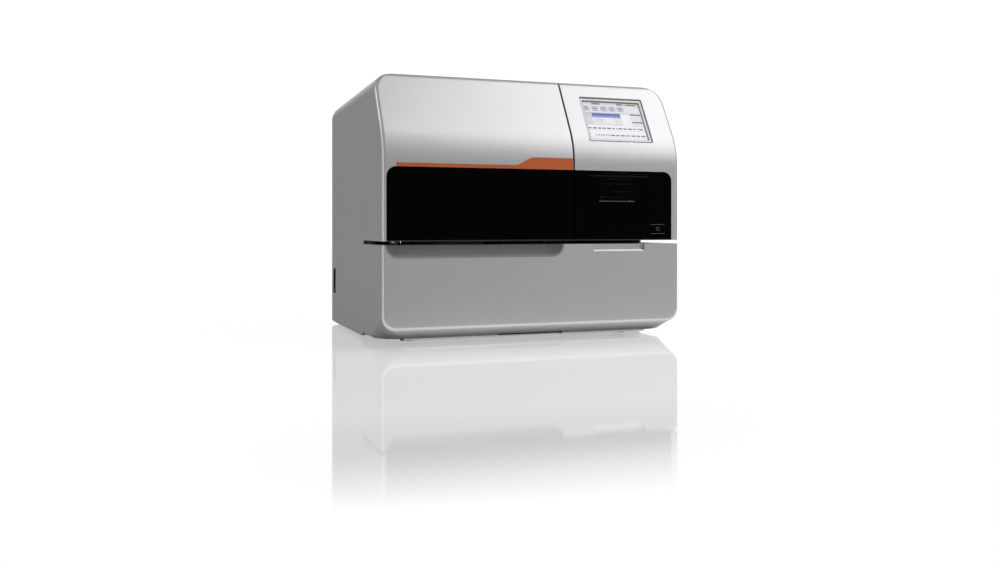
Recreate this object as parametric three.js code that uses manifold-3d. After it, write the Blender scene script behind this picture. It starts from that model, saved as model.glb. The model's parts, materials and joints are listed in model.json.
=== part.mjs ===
// Bench-top coagulation analyzer: a light shield lid over the sample bay on the left,
// a slanted screen over a printer door on the right, and covers, works and feet round them.
// Millimetres. X to the right, Y to the back, Z up. The origin is at the middle of the
// footprint, on the bench.
import * as THREE from 'three';
import { mergeVertices } from 'three/addons/utils/BufferGeometryUtils.js';
import Module from 'manifold-3d';

const wasm = await Module();
wasm.setup();

// Driving dimensions
const width = 587;
const depth = 490;
const height = 490;
const wall = 3;
const fitGap = 0.3;
const seamGap = 0.8;
const overrun = 5;

// Outer form
const rearReach = 13;
const frontDepth = 150;
const archRise = 140.7;
const archRadius = 130;
const slantAngle = Math.PI / 6;
const crestRadius = 10;
const topCornerRadius = 36;
const hullRadius = 55;
const hullRise = 36;
const frontFillet = 10;
const rearFillet = 12;
const rearTopRadius = 20;
const topFall = 14;
const rimHeight = 24;
const rimDepth = 40;
const skirtRadius = 6;
const skirtBottom = 4;

// Base and feet
const footRadius = 13;
const footHeight = 6.7;
const footInsetX = 74;
const footInsetFront = 110;
const footInsetRear = 50;
const basePlate = 3;
const baseEdge = 9.5;
const baseFrontSetback = 45;
const baseCornerInset = 42;

// Split lines between the front mouldings
const slotHeight = 6.5;
const upperHigh = 304.7;
const housingWide = 222.1;
const lidSeam = 3.4;

// Lid hinge
const hingeBarRadius = 5;
const hingePinRadius = 1.5;
const hingeKnuckle = 30;
const hingePinOverlap = 9;
const hingeEndInset = 48;
const hingeRightInset = 20;
const lidFlange = 15;

// Window band
const windowInsetLeft = 11.9;
const windowInsetRight = 13.9;
const windowLip = 2.4;
const windowHeight = 128.5;
const windowRadius = 17;
const windowThick = 2;
const windowLedge = 5;
const ledgeThick = 0.7;

// Orange stripe over the window
const stripeInset = 26.5;
const stripeLow = 5.8;
const stripeHigh = 21.2;
const stripeRampReach = 111.2;
const stripeTabWide = 80.7;
const stripeThick = 0.8;
const stripePocket = 1.1;

// Finger recesses under the slot
const recessInset = 9;
const recessFromSeam = 23;
const recessDrop = 20.2;
const recessDepth = 20;
const recessRadius = 16;
const shallowFromSeam = 40.6;
const shallowWide = 107;
const shallowDrop = 14.8;
const shallowDepth = 5;
const shallowRadius = 5;
const bayInset = 23;
const gripWide = 130;
const gripHigh = 3.6;
const gripDeep = 12;
const bayFromSeam = 25.4;

// Screen on the slant
const screenFromSeam = 104.6;
const screenDrop = 77;
const screenFrameWidth = 128;
const screenFrameLength = 105;
const screenSightWidth = 118;
const screenSightLength = 90;
const screenFrameRadius = 3;
const screenStep = 2.5;
const screenFrameTop = 1;
const screenFrameThick = 5;
const touchThick = 1.6;
const moduleThick = 14;
const moduleMargin = 5;

// Printer door and start button in the right fascia
const doorFromSeam = 31.6;
const doorWide = 123;
const doorTopGap = 5.5;
const doorLowGap = 5.8;
const doorThick = 3;
const doorPinRadius = 1.2;
const doorEar = 5;
const paperSlotInset = 21.5;
const paperSlotWide = 72.5;
const paperSlotRise = 67.3;
const paperSlotHigh = 2.4;
const louvreHigh = 1.2;
const louvreRises = [6, 16.8, 30.7, 40.2];
const buttonInset = 32.1;
const buttonRise = 18.8;
const buttonWidth = 24;
const buttonHigh = 13;
const buttonRadius = 2.5;
const buttonTravel = 2;
const buttonFlange = 1.6;
const buttonDeep = 6;

// Mains switch on the left side
const switchSetback = 38;
const switchZ = 95;
const switchWide = 27.5;
const switchHigh = 53;
const switchRim = 3;
const switchDeep = 16;
const rockerTilt = 0.1;
const rockerWedge = 2.4;
const rockerSunk = 2.4;

// Inside walls and deck
const deckDrop = 35.8;
const deckInset = 25.5;
const deckSetback = 23;
const bayWallSetback = 85.7;
const bayWallDrop = 35;
const legThick = 3;

// Gantry that carries the probe
const railDrop = 85;
const railSize = 14;
const railSetback = 24.3;
const railInsetLeft = 31.5;
const railInsetRight = 13.1;
const homeInset = 93.1;
const homeSetback = 62;
const carriageWide = 50;
const carriageThick = 16;
const armWide = 24;
const armHigh = 18;
const armDrop = 26;
const armSetback = 95;
const yCarriageLong = 36;
const sleeve = 8;
const toolWide = 13;
const toolThick = 14;
const probeBarDrop = 105;
const probeBarRise = 40;
const needleRadius = 1;
const needleLong = 50;
const catcherBarDrop = 93;
const catcherBarRise = 25;
const catcherJaw = 4;
const pulleyRadius = 8;
const pulleyWide = 8;
const pulleyRim = 1.5;
const beltThick = 1.2;
const beltWide = 6;
const pulleyRise = 35;
const drivePulleyInset = 28.1;
const idlerPulleyInset = 45.5;
const shaftRadius = 2.5;
const motorSize = 42;
const motorLong = 38;

// Racks on the deck
const rackInset = 82;
const rackFrontInset = 16;
const rackDeep = 30;
const rackHigh = 62;
const fillDrop = 3.5;
const tubeCount = 5;
const tubePlaces = [0, 1, 3];
const tubeSpacing = 18;
const tubeRadius = 6.5;
const tubeLong = 94;
const tubeWall = 1;
const vialInset = 31;
const vialFrontInset = 106;
const vialSpacing = 26;
const vialRows = 3;
const vialLoads = [0, 2];
const vialRadius = 11;
const vialLong = 45;
const vialWall = 1.5;
const vialBlockHigh = 26;
const cuvettesPerStrip = 5;
const cuvetteRows = 2;
const cuvetteSpacing = 20;
const cuvetteRackGap = 24;
const cuvetteVialGap = 15;
const cuvetteFrontInset = 90;
const cuvetteRadius = 4;
const cuvetteLong = 38;
const cuvetteWall = 0.8;
const cuvetteWeb = 2;
const cuvetteRackHigh = 24;
const detectorWide = 82;
const detectorInset = 29.1;
const detectorFrontInset = 72;
const detectorLong = 120;
const detectorHigh = 44;
const wellCount = 6;
const wellRadius = 5;
const wellDeep = 3;
const drainRadius = 9;

// Rear panel and what it carries
const panelInset = 21.5;
const panelLow = 22;
const panelDrop = 38;
const fanInset = 123.5;
const fanDrop = 160;
const fanSize = 92;
const fanBore = 43;
const fanDeep = 25;
const fanHub = 17;
const fanVaneReach = 40;
const fanVaneThick = 2;
const guardWire = 2;
const guardRadii = [14, 27, 40];
const inletInset = 68.5;
const inletZ = 70;
const inletWide = 48;
const inletHigh = 27;
const inletFlange = 3;
const inletDeep = 22;
const portInset = 88.5;
const portZ = 80;
const portSpacing = 24;
const portCount = 3;
const portRadius = 4.5;
const portBore = 2.5;
const portPlate = 3;
const ventCount = 12;
const ventSpacing = 10;
const ventLong = 110;
const ventHigh = 4;
const ventInset = 143.5;
const ventDrop = 250;
const boardPostRadius = 3.5;
const boardPostInset = 12;

// Printer, supply, board and pump
const rollerFromSeam = 89.6;
const rollRadius = 24;
const rollCore = 6;
const rollWide = 58;
const rollSetback = 57;
const rollRise = 34.3;
const platenRadius = 5;
const platenSetback = 17;
const platenRise = 1.2;
const frameThick = 2;
const frameGap = 1.2;
const spindleRadius = 3;
const headThick = 6;
const headHigh = 14;
const powerWide = 150;
const powerDeep = 120;
const powerHigh = 62;
const powerInset = 183.5;
const powerBackInset = 192;
const boardThick = 1.6;
const boardStandoff = 5;
const boardSetback = 35;
const boardLong = 200;
const boardRise = 7;
const boardHigh = 150;
const pumpInset = 143.5;
const pumpSetback = 44;
const pumpRadius = 22;
const pumpLong = 70;

// Places that follow from the driving sizes: the outer form
const halfWidth = width / 2;
const frontY = -depth / 2;
const rearY = depth / 2 - rearReach;
const joinY = frontY + frontDepth;
const coverY = joinY + seamGap;
const lowerCoverTop = height - upperHigh - slotHeight;
const upperBottom = lowerCoverTop + slotHeight;
const archStart = upperBottom + archRise;
const seamX = halfWidth - housingWide;
const lidRight = seamX - lidSeam / 2;
const housingLeft = seamX + lidSeam / 2;
const baseLow = footHeight + fitGap;
const baseTop = baseLow + basePlate;
const lowerCoverBottom = baseTop + fitGap;
const windowLeft = -halfWidth + windowInsetLeft;
const windowRight = halfWidth - windowInsetRight;
const windowLow = upperBottom + windowLip;
const windowHigh = windowLow + windowHeight;
const windowFace = frontY + fitGap / 3;
const windowBack = windowFace + windowThick;
const stripeLeft = -halfWidth + stripeInset;
const stripeRampStart = lidRight - stripeRampReach;
const stripeRampEnd = lidRight - stripeTabWide;
const recessLeft = -halfWidth + recessInset;
const recessRight = seamX - recessFromSeam;
const shallowLeft = seamX + shallowFromSeam;
const shallowRight = shallowLeft + shallowWide;
const bayRight = seamX - bayFromSeam;
const screenCentreX = seamX + screenFromSeam;
const screenCentreZ = height - screenDrop;

// Printer door, start button and mains switch
const doorLeft = seamX + doorFromSeam;
const doorRight = doorLeft + doorWide;
const doorLow = windowLow + doorLowGap;
const paperSlotLeft = doorLeft + paperSlotInset;
const paperSlotRight = paperSlotLeft + paperSlotWide;
const paperSlotZ = doorLow + paperSlotRise;
const louvreZs = louvreRises.map((rise) => paperSlotZ + rise);
const buttonCentreX = windowRight - buttonInset;
const buttonCentreZ = windowLow + buttonRise;
const switchY = rearY - switchSetback;

// Walls, deck and gantry
const centreWallLeft = housingLeft;
const deckTop = lowerCoverTop - deckDrop;
const deckLeft = -halfWidth + deckInset;
const deckFront = frontY + deckSetback;
const bayWallY = rearY - bayWallSetback;
const bayWallTop = height - bayWallDrop;
const railZ = height - railDrop;
const railFront = bayWallY - railSetback;
const railLeft = -halfWidth + railInsetLeft;
const railRight = centreWallLeft - railInsetRight;
const homeX = centreWallLeft - homeInset;
const homeY = railFront - homeSetback;
const armFront = frontY + armSetback;
const probeBarLow = railZ - probeBarDrop;
const probeBarHigh = railZ + probeBarRise;
const catcherBarLow = railZ - catcherBarDrop;
const catcherBarHigh = railZ + catcherBarRise;
const pulleyZ = railZ + pulleyRise;
const drivePulleyX = centreWallLeft - drivePulleyInset;
const idlerPulleyX = -halfWidth + idlerPulleyInset;

// Racks and blocks; the strips are shorter where the deck has no room for whole ones
const rackLeft = deckLeft + rackInset;
const rackFront = deckFront + rackFrontInset;
const vialX = deckLeft + vialInset;
const vialFirstY = deckFront + vialFrontInset;
const cuvetteFirstY = deckFront + cuvetteFrontInset;
const detectorRight = centreWallLeft - detectorInset;
const detectorLeft = detectorRight - detectorWide;
const detectorFront = deckFront + detectorFrontInset;
const detectorRear = detectorFront + detectorLong;
const vialBlockMargin = vialRadius + wall;
const cuvetteMargin = cuvetteSpacing / 2;
const cuvetteRackRight = detectorLeft - cuvetteRackGap;
const cuvetteRoom = cuvetteRackRight - vialX - vialBlockMargin - cuvetteVialGap;
const cuvetteColumns = Math.min(cuvettesPerStrip, Math.floor(cuvetteRoom / cuvetteSpacing));
const cuvetteFirstX = cuvetteRackRight - cuvetteMargin - (cuvetteColumns - 1) * cuvetteSpacing;

// Rear panel, printer, supply, board and pump
const panelHalf = halfWidth - panelInset;
const panelHigh = height - panelDrop;
const fanX = halfWidth - fanInset;
const fanZ = height - fanDrop;
const inletX = halfWidth - inletInset;
const portX = -halfWidth + portInset;
const ventX = -halfWidth + ventInset;
const ventZ = height - ventDrop;
const rollerX = seamX + rollerFromSeam;
const rollY = frontY + rollSetback;
const rollZ = windowLow + rollRise;
const platenY = frontY + platenSetback;
const platenZ = paperSlotZ + platenRise;
const powerLeft = halfWidth - powerInset;
const powerFront = rearY - powerBackInset;
const boardFront = joinY + boardSetback;
const boardLow = deckTop + boardRise;
const pumpX = -halfWidth + pumpInset;
const pumpY = rearY - pumpSetback;

// Centre of the crest fillet, tangent to the slant and to the top
const slantTurn = Math.PI / 2 - slantAngle;
const archCentreY = frontY + archRadius;
const archEndY = archCentreY - archRadius * Math.cos(slantAngle);
const archEndZ = archStart + archRadius * Math.sin(slantAngle);
const crestZ = height - crestRadius;
const slantRun = (crestZ - archEndZ + crestRadius * Math.sin(slantAngle)) / Math.cos(slantAngle);
const crestY = archEndY + slantRun * Math.sin(slantAngle) + crestRadius * Math.cos(slantAngle);
const topSlope = topFall / (rearY - crestY);
const hingeY = joinY - hingeBarRadius;
const hingeZ = height - (hingeY - crestY) * topSlope - hingeBarRadius;

// Solids from three.js geometry, and back
function toSolid(geometry) {
  const bare = geometry.clone();
  bare.deleteAttribute('normal');
  bare.deleteAttribute('uv');
  const merged = mergeVertices(bare, 1e-4);
  const vertProperties = new Float32Array(merged.attributes.position.array);
  const triVerts = new Uint32Array(merged.index.array);
  return new wasm.Manifold(new wasm.Mesh({ numProp: 3, vertProperties, triVerts }));
}

function toGeometry(solid) {
  const mesh = solid.getMesh();
  const geometry = new THREE.BufferGeometry();
  geometry.setAttribute('position', new THREE.BufferAttribute(mesh.vertProperties, 3));
  geometry.setIndex(new THREE.BufferAttribute(mesh.triVerts, 1));
  return geometry;
}

function joined(...solids) {
  return solids.reduce((whole, next) => whole.add(next));
}

function block(x0, x1, y0, y1, z0, z1) {
  const geometry = new THREE.BoxGeometry(x1 - x0, y1 - y0, z1 - z0);
  geometry.translate((x0 + x1) / 2, (y0 + y1) / 2, (z0 + z1) / 2);
  return toSolid(geometry);
}

// A round bar from one end to the other along X, Y or Z
function bar(axis, radius, start, end, first, second, sides = 16) {
  const geometry = new THREE.CylinderGeometry(radius, radius, end - start, sides);
  const middle = (start + end) / 2;
  if (axis === 'x') {
    geometry.rotateZ(-Math.PI / 2);
    geometry.translate(middle, first, second);
  } else if (axis === 'y') {
    geometry.translate(first, middle, second);
  } else {
    geometry.rotateX(Math.PI / 2);
    geometry.translate(first, second, middle);
  }
  return toSolid(geometry);
}

function roundedOutline(x0, x1, z0, z1, lowRadius, highRadius) {
  const outline = new THREE.Shape();
  outline.moveTo(x0 + lowRadius, z0);
  outline.lineTo(x1 - lowRadius, z0);
  outline.absarc(x1 - lowRadius, z0 + lowRadius, lowRadius, -Math.PI / 2, 0, false);
  outline.lineTo(x1, z1 - highRadius);
  outline.absarc(x1 - highRadius, z1 - highRadius, highRadius, 0, Math.PI / 2, false);
  outline.lineTo(x0 + highRadius, z1);
  outline.absarc(x0 + highRadius, z1 - highRadius, highRadius, Math.PI / 2, Math.PI, false);
  outline.lineTo(x0, z0 + lowRadius);
  outline.absarc(x0 + lowRadius, z0 + lowRadius, lowRadius, Math.PI, Math.PI * 1.5, false);
  return outline;
}

// An outline seen from the front (x, z), given a thickness from y0 back to y1
function frontPrism(outline, y0, y1, curveSegments = 5) {
  const geometry = new THREE.ExtrudeGeometry(outline, {
    depth: y1 - y0,
    bevelEnabled: false,
    curveSegments,
  });
  geometry.rotateX(Math.PI / 2);
  geometry.translate(0, y1, 0);
  return toSolid(geometry);
}

// An outline seen from the right side (y, z), given a width from x0 to x1
function sidePrism(outline, x0, x1, curveSegments = 5) {
  const geometry = new THREE.ExtrudeGeometry(outline, {
    depth: x1 - x0,
    bevelEnabled: false,
    curveSegments,
  });
  const turn = new THREE.Matrix4().makeBasis(
    new THREE.Vector3(0, 1, 0),
    new THREE.Vector3(0, 0, 1),
    new THREE.Vector3(1, 0, 0),
  );
  geometry.applyMatrix4(turn);
  geometry.translate(x0, 0, 0);
  return toSolid(geometry);
}

// A turned vessel standing at (x, y, floor), filled to just under its open rim
function cup(x, y, floor, radius, long, thick, sides) {
  const fill = long - fillDrop;
  const profile = [
    new THREE.Vector2(0, 0),
    new THREE.Vector2(radius * 0.75, 0),
    new THREE.Vector2(radius, radius * 0.4),
    new THREE.Vector2(radius, long),
    new THREE.Vector2(radius - thick, long),
    new THREE.Vector2(radius - thick, fill),
    new THREE.Vector2(0, fill),
  ];
  const geometry = new THREE.LatheGeometry(profile, sides);
  geometry.rotateX(Math.PI / 2);
  geometry.translate(x, y, floor);
  return toSolid(geometry);
}

// A flat ring round Y
function ringAbout(x, z, inner, outer, y0, y1, sides) {
  const profile = [
    new THREE.Vector2(inner, y0),
    new THREE.Vector2(outer, y0),
    new THREE.Vector2(outer, y1),
    new THREE.Vector2(inner, y1),
    new THREE.Vector2(inner, y0),
  ];
  const geometry = new THREE.LatheGeometry(profile, sides);
  geometry.translate(x, 0, z);
  return toSolid(geometry);
}

// The front surface's place at a height, set in from the outer form
function frontAt(z, inset, bottom) {
  const rimTop = bottom + rimHeight;
  const deep = rimDepth - inset;
  const high = rimHeight - inset;
  const bend = archRadius - inset;
  const archTop = archStart + bend * Math.sin(slantAngle);
  const crestBend = crestRadius - inset;
  const crestFoot = crestZ + crestBend * Math.sin(slantAngle);
  if (z < rimTop) {
    const share = Math.min(1, (rimTop - z) / high);
    return frontY + rimDepth - deep * Math.sqrt(1 - share * share);
  }
  if (z <= archStart) {
    return frontY + inset;
  }
  if (z <= archTop) {
    return archCentreY - Math.sqrt(bend * bend - (z - archStart) ** 2);
  }
  if (z <= crestFoot) {
    return archCentreY - bend * Math.cos(slantAngle) + (z - archTop) * Math.tan(slantAngle);
  }
  const rise = Math.min(crestBend, z - crestZ);
  return crestY - Math.sqrt(crestBend * crestBend - rise * rise);
}

// The outer form in level slices, each a rectangle with round corners, set in by inset.
// The front corners widen towards the floor, like a hull, so that the sides still run down to it.
function envelope(inset, bottom, rimmed) {
  const half = halfWidth - inset;
  const top = height - inset;
  const low = bottom + inset;
  const cornerHigh = topCornerRadius - inset;
  const cornerLow = skirtRadius - inset;
  const bendSteps = 5;
  const heights = new Set();
  for (let step = 0; step <= bendSteps; step += 1) {
    const angle = (step / bendSteps) * (Math.PI / 2);
    heights.add(low + cornerLow * (1 - Math.cos(angle)));
    heights.add(top - cornerHigh * (1 - Math.cos(angle)));
    heights.add(top - (rearTopRadius - inset) * (1 - Math.cos(angle)));
    heights.add(archStart + (archRadius - inset) * Math.sin((step / bendSteps) * slantAngle));
    if (rimmed) {
      heights.add(bottom + rimHeight - (rimHeight - inset) * Math.sin(angle));
      heights.add(low + ((hullRise - inset) * step) / bendSteps);
    }
  }
  heights.add(crestZ + (crestRadius - inset) * Math.sin(slantAngle));
  const sorted = [...heights].sort((a, b) => a - b);
  const levels = sorted.filter((z, index) => index === 0 || z - sorted[index - 1] > fitGap);
  levels[levels.length - 1] = top;
  const rings = levels.map((z) => {
    const overTop = Math.max(0, z - (top - cornerHigh));
    const underLow = Math.max(0, low + cornerLow - z);
    const overRear = Math.max(0, z - (top - rearTopRadius + inset));
    const rearBend = rearTopRadius - inset;
    let side = half;
    side -= cornerHigh - Math.sqrt(Math.max(0, cornerHigh ** 2 - overTop ** 2));
    side -= cornerLow - Math.sqrt(Math.max(0, cornerLow ** 2 - underLow ** 2));
    const yFront = frontAt(z, inset, rimmed ? bottom : bottom - rimHeight);
    const yRear = rearY - inset - rearBend + Math.sqrt(Math.max(0, rearBend ** 2 - overRear ** 2));
    const hullShare = rimmed ? Math.max(0, (bottom + hullRise - z) / hullRise) : 0;
    const bend = frontFillet + (hullRadius - frontFillet) * Math.sin(hullShare * (Math.PI / 2));
    return planRing(side, yFront, yRear, z, bend - inset, rearFillet - inset);
  });
  return toSolid(loft(rings));
}

function planRing(side, yFront, yRear, z, frontBend, rearBend) {
  const points = [];
  const corners = [
    [-1, 1, frontBend, Math.PI],
    [1, 1, frontBend, Math.PI * 1.5],
    [1, -1, rearBend, 0],
    [-1, -1, rearBend, Math.PI / 2],
  ];
  const steps = 4;
  const weight = Math.max(0, (z - archStart) / (height - archStart));
  for (const [toSide, toFront, radius, start] of corners) {
    const x = toSide * (side - radius);
    const y = toFront > 0 ? yFront + radius : yRear - radius;
    for (let step = 0; step <= steps; step += 1) {
      const angle = start + (step / steps) * (Math.PI / 2);
      const pointY = y + radius * Math.sin(angle);
      const fall = topSlope * Math.max(0, pointY - crestY) * weight;
      points.push([x + radius * Math.cos(angle), pointY, z - fall]);
    }
  }
  return points;
}

// Skins rings of equal count into one closed body
function loft(rings) {
  const count = rings[0].length;
  const positions = rings.flat(2);
  const index = [];
  for (let row = 0; row + 1 < rings.length; row += 1) {
    for (let point = 0; point < count; point += 1) {
      const next = (point + 1) % count;
      const a = row * count + point;
      const b = row * count + next;
      index.push(a, b, b + count, a, b + count, a + count);
    }
  }
  const last = (rings.length - 1) * count;
  for (let point = 1; point + 1 < count; point += 1) {
    index.push(0, point + 1, point);
    index.push(last, last + point, last + point + 1);
  }
  const geometry = new THREE.BufferGeometry();
  geometry.setAttribute('position', new THREE.Float32BufferAttribute(positions, 3));
  geometry.setIndex(index);
  return geometry;
}

const frontOuter = envelope(0, lowerCoverBottom, true);
const frontInner = envelope(wall, lowerCoverBottom, true);
const rearOuter = envelope(0, skirtBottom, false);
const rearInner = envelope(wall, skirtBottom, false);

const group = new THREE.Group();

const finishes = {
  silver: [0xb4b5b8, 0.45, 0.35],
  black: [0x050506, 0.08, 0],
  smoked: [0x060607, 0.06, 0],
  orange: [0xc4602c, 0.4, 0],
  pale: [0xe4e5e6, 0.5, 0],
  screen: [0xdfe3ea, 0.2, 0],
  steel: [0x9a9c9f, 0.4, 0.8],
  bright: [0xc8c9cb, 0.25, 0.9],
  rubber: [0x1a1a1a, 0.9, 0],
  dark: [0x2a2b2d, 0.6, 0],
  white: [0xf0f0ee, 0.7, 0],
  board: [0x1f5a34, 0.5, 0],
  clear: [0xd8e6ea, 0.1, 0],
  tan: [0xc9b48a, 0.6, 0],
};

function addPart(name, solid, finish) {
  const [color, roughness, metalness] = finishes[finish];
  const material = new THREE.MeshStandardMaterial({ color, roughness, metalness });
  const mesh = new THREE.Mesh(toGeometry(solid), material);
  mesh.name = name;
  group.add(mesh);
}

const far = width;

// Window openings: a pocket for the panel and a smaller way through behind it
function panelPocket(x0, x1, lowRadius, highRadius) {
  const outline = roundedOutline(x0, x1, windowLow, windowHigh, lowRadius, highRadius);
  return frontPrism(outline, frontY - overrun, windowBack + fitGap);
}

const bandOutline = roundedOutline(
  windowLeft, windowRight, windowLow, windowHigh, windowRadius / 3, windowRadius,
);
const bandPocket = frontPrism(bandOutline, frontY - overrun, windowBack + fitGap);
const sightOutline = roundedOutline(
  windowLeft + windowLedge, windowRight - windowLedge,
  windowLow + windowLedge, windowHigh - windowLedge, windowRadius / 3, windowRadius - windowLedge,
);
const bandSight = frontPrism(sightOutline, frontY - overrun, frontY + wall + lidFlange);
const panelOutline = roundedOutline(
  windowLeft + fitGap, windowRight - fitGap,
  windowLow + fitGap, windowHigh - fitGap, windowRadius / 3, windowRadius - fitGap,
);
const bandPanel = frontPrism(panelOutline, windowFace, windowBack);

// Light shield lid
function stripeSolid(margin, y0, y1) {
  const low = windowHigh + stripeThick;
  const outline = new THREE.Shape();
  outline.moveTo(stripeLeft - margin, low - margin);
  outline.lineTo(lidRight - stripeThick + margin, low - margin);
  outline.lineTo(lidRight - stripeThick + margin, windowHigh + stripeHigh + margin);
  outline.lineTo(stripeRampEnd - margin / 2, windowHigh + stripeHigh + margin);
  outline.lineTo(stripeRampStart - margin / 2, windowHigh + stripeLow + margin);
  outline.lineTo(stripeLeft - margin, windowHigh + stripeLow + margin);
  outline.closePath();
  return frontPrism(outline, y0, y1);
}

const hingeStarts = [-halfWidth + hingeEndInset, lidRight - hingeRightInset - hingeKnuckle];

function makeLid() {
  const rearEdge = new THREE.Shape();
  rearEdge.moveTo(-far, upperBottom);
  rearEdge.lineTo(joinY, upperBottom);
  rearEdge.absarc(hingeY, hingeZ, hingeBarRadius, 0, Math.PI / 2, false);
  rearEdge.lineTo(hingeY - hingeBarRadius * 2, hingeZ + hingeBarRadius * 3);
  rearEdge.lineTo(-far, hingeZ + hingeBarRadius * 3);
  rearEdge.closePath();
  const reach = sidePrism(rearEdge, -far, lidRight, 6);
  const roomX = lidRight - wall;
  const room = frontInner.intersect(block(-far, roomX, -far, far, 0, far));
  const openRight = frontInner.intersect(
    block(-far, lidRight + overrun, frontY + wall + lidFlange, far, 0, height - wall - lidFlange),
  );
  const floorLip = block(-far, far, -far, frontY + wall + lidFlange, 0, upperBottom + wall);
  const hollow = joined(room, openRight).subtract(floorLip);
  let lid = frontOuter.intersect(reach).subtract(hollow);
  const barLeft = hingeStarts[0] - hingePinOverlap - overrun;
  const barRight = lidRight - wall / 2;
  lid = lid.add(bar('x', hingeBarRadius - fitGap, barLeft, barRight, hingeY, hingeZ, 20));
  for (const start of hingeStarts) {
    const end = start + hingeKnuckle;
    const notchReach = hingeBarRadius + seamGap;
    lid = lid.subtract(block(
      start - seamGap, end + seamGap, hingeY - notchReach, joinY + overrun,
      hingeZ - notchReach, height + overrun,
    ));
  }
  const from = hingeStarts[0] - hingePinOverlap - fitGap;
  const to = hingeStarts[1] + hingeKnuckle + hingePinOverlap + fitGap;
  lid = lid.subtract(bar('x', hingePinRadius + fitGap, from, to, hingeY, hingeZ, 12));
  lid = lid.subtract(bandPocket).subtract(bandSight);
  return lid.subtract(stripeSolid(fitGap, frontY - overrun, frontY + stripePocket));
}

addPart('light_shield_lid', makeLid(), 'silver');
addPart('lid_window', bandPanel.intersect(
  block(-far, lidRight - fitGap, -far, far, 0, far),
), 'smoked');
addPart('accent_stripe', stripeSolid(0, frontY + fitGap / 3, frontY + fitGap / 3 + stripeThick), 'orange');

// Hinge beam: a post on the base, a beam to the middle wall and two fixed knuckles
const beamFront = coverY + wall;
const beamDeep = 20;
const beamHigh = 16;
const beamTop = hingeZ - hingeBarRadius;
const postWide = 15;
const postLeft = -halfWidth + wall * 2 + seamGap * 2;

function makeHingeBeam() {
  const beamLow = beamTop - beamHigh;
  const beamRight = centreWallLeft - fitGap;
  const beamLeft = postLeft + postWide - overrun;
  const postTop = beamLow + wall;
  let beam = joined(
    block(postLeft, postLeft + postWide, beamFront, beamFront + beamDeep, baseTop + fitGap, postTop),
    block(beamLeft, beamRight, beamFront, beamFront + beamDeep, beamLow, beamTop),
  );
  const knuckleRadius = hingeBarRadius - seamGap;
  for (const start of hingeStarts) {
    const end = start + hingeKnuckle;
    beam = joined(
      beam,
      bar('x', knuckleRadius, start, end, hingeY, hingeZ, 16),
      block(start, end, hingeY, beamFront + beamDeep, beamTop - wall, hingeZ - hingePinRadius - wall / 3),
      block(start, end, hingeY - knuckleRadius, hingeY, beamTop + seamGap, hingeZ),
    );
    beam = beam.subtract(bar(
      'x', hingePinRadius + fitGap, start - overrun, end + overrun, hingeY, hingeZ, 12,
    ));
  }
  return beam;
}

addPart('hinge_beam', makeHingeBeam(), 'steel');
addPart('lid_hinge_rod', bar(
  'x', hingePinRadius, hingeStarts[0] - hingePinOverlap, hingeStarts[1] + hingeKnuckle + hingePinOverlap,
  hingeY, hingeZ, 12,
), 'bright');

// The screen's own frame of reference: across, up the slant, and out of it
const slantPoint = frontAt(screenCentreZ, 0, lowerCoverBottom);
const onSlant = new THREE.Matrix4().makeBasis(
  new THREE.Vector3(1, 0, 0),
  new THREE.Vector3(0, Math.sin(slantAngle), Math.cos(slantAngle)),
  new THREE.Vector3(0, -Math.cos(slantAngle), Math.sin(slantAngle)),
);
onSlant.setPosition(screenCentreX, slantPoint, screenCentreZ);

function slantBlock(across, along, low, high, radius = 0) {
  const x = across / 2;
  const y = along / 2;
  let geometry = new THREE.BoxGeometry(across, along, high - low);
  geometry.translate(0, 0, (low + high) / 2);
  if (radius > 0) {
    geometry = new THREE.ExtrudeGeometry(roundedOutline(-x, x, -y, y, radius, radius), {
      depth: high - low,
      bevelEnabled: false,
      curveSegments: 3,
    });
    geometry.translate(0, 0, low);
  }
  geometry.applyMatrix4(onSlant);
  return toSolid(geometry);
}

// Right-hand moulding: walls, flat underside, screen opening and fascia opening
function makeHousing() {
  const reach = block(housingLeft, far, -far, joinY, upperBottom, far);
  const floor = block(-far, far, -far, far, 0, upperBottom + wall);
  const room = frontInner.intersect(block(housingLeft + wall, far, -far, far, 0, far));
  let housing = frontOuter.intersect(reach).subtract(room.subtract(floor));
  housing = housing.subtract(bandPocket).subtract(
    bandSight.intersect(block(housingLeft + wall, far, -far, far, 0, far)),
  );
  return housing.subtract(
    slantBlock(screenFrameWidth, screenFrameLength, -wall * 4, wall * 4, screenFrameRadius),
  );
}

addPart('display_housing', makeHousing(), 'silver');

function makeScreenBezel() {
  const outer = slantBlock(
    screenFrameWidth - fitGap * 2, screenFrameLength - fitGap * 2,
    -screenFrameTop - screenFrameThick, -screenFrameTop, screenFrameRadius,
  );
  const step = slantBlock(
    screenSightWidth + screenStep * 2, screenSightLength + screenStep * 2,
    -screenFrameTop - screenStep, overrun,
  );
  const sight = slantBlock(screenSightWidth, screenSightLength, -far, overrun);
  return outer.subtract(step).subtract(sight);
}

const touchHigh = -screenFrameTop - screenFrameThick - fitGap;
const moduleHigh = touchHigh - touchThick - fitGap;
addPart('screen_bezel', makeScreenBezel(), 'pale');
addPart('touch_screen', slantBlock(
  screenSightWidth + moduleMargin, screenSightLength + moduleMargin, touchHigh - touchThick, touchHigh,
), 'screen');
addPart('display_module', slantBlock(
  screenSightWidth + moduleMargin, screenSightLength + moduleMargin,
  moduleHigh - moduleThick, moduleHigh,
), 'steel');

// Right fascia with its printer door and start button
const doorTop = windowHigh - doorTopGap;
const doorBend = windowBack + fitGap + doorPinRadius + wall - windowFace;
const doorAxisY = windowFace + doorBend;
const doorAxisZ = doorTop - doorBend;
const lugLow = doorAxisZ - doorPinRadius * 3;
const lugHigh = doorAxisZ + doorPinRadius * 3;

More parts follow.
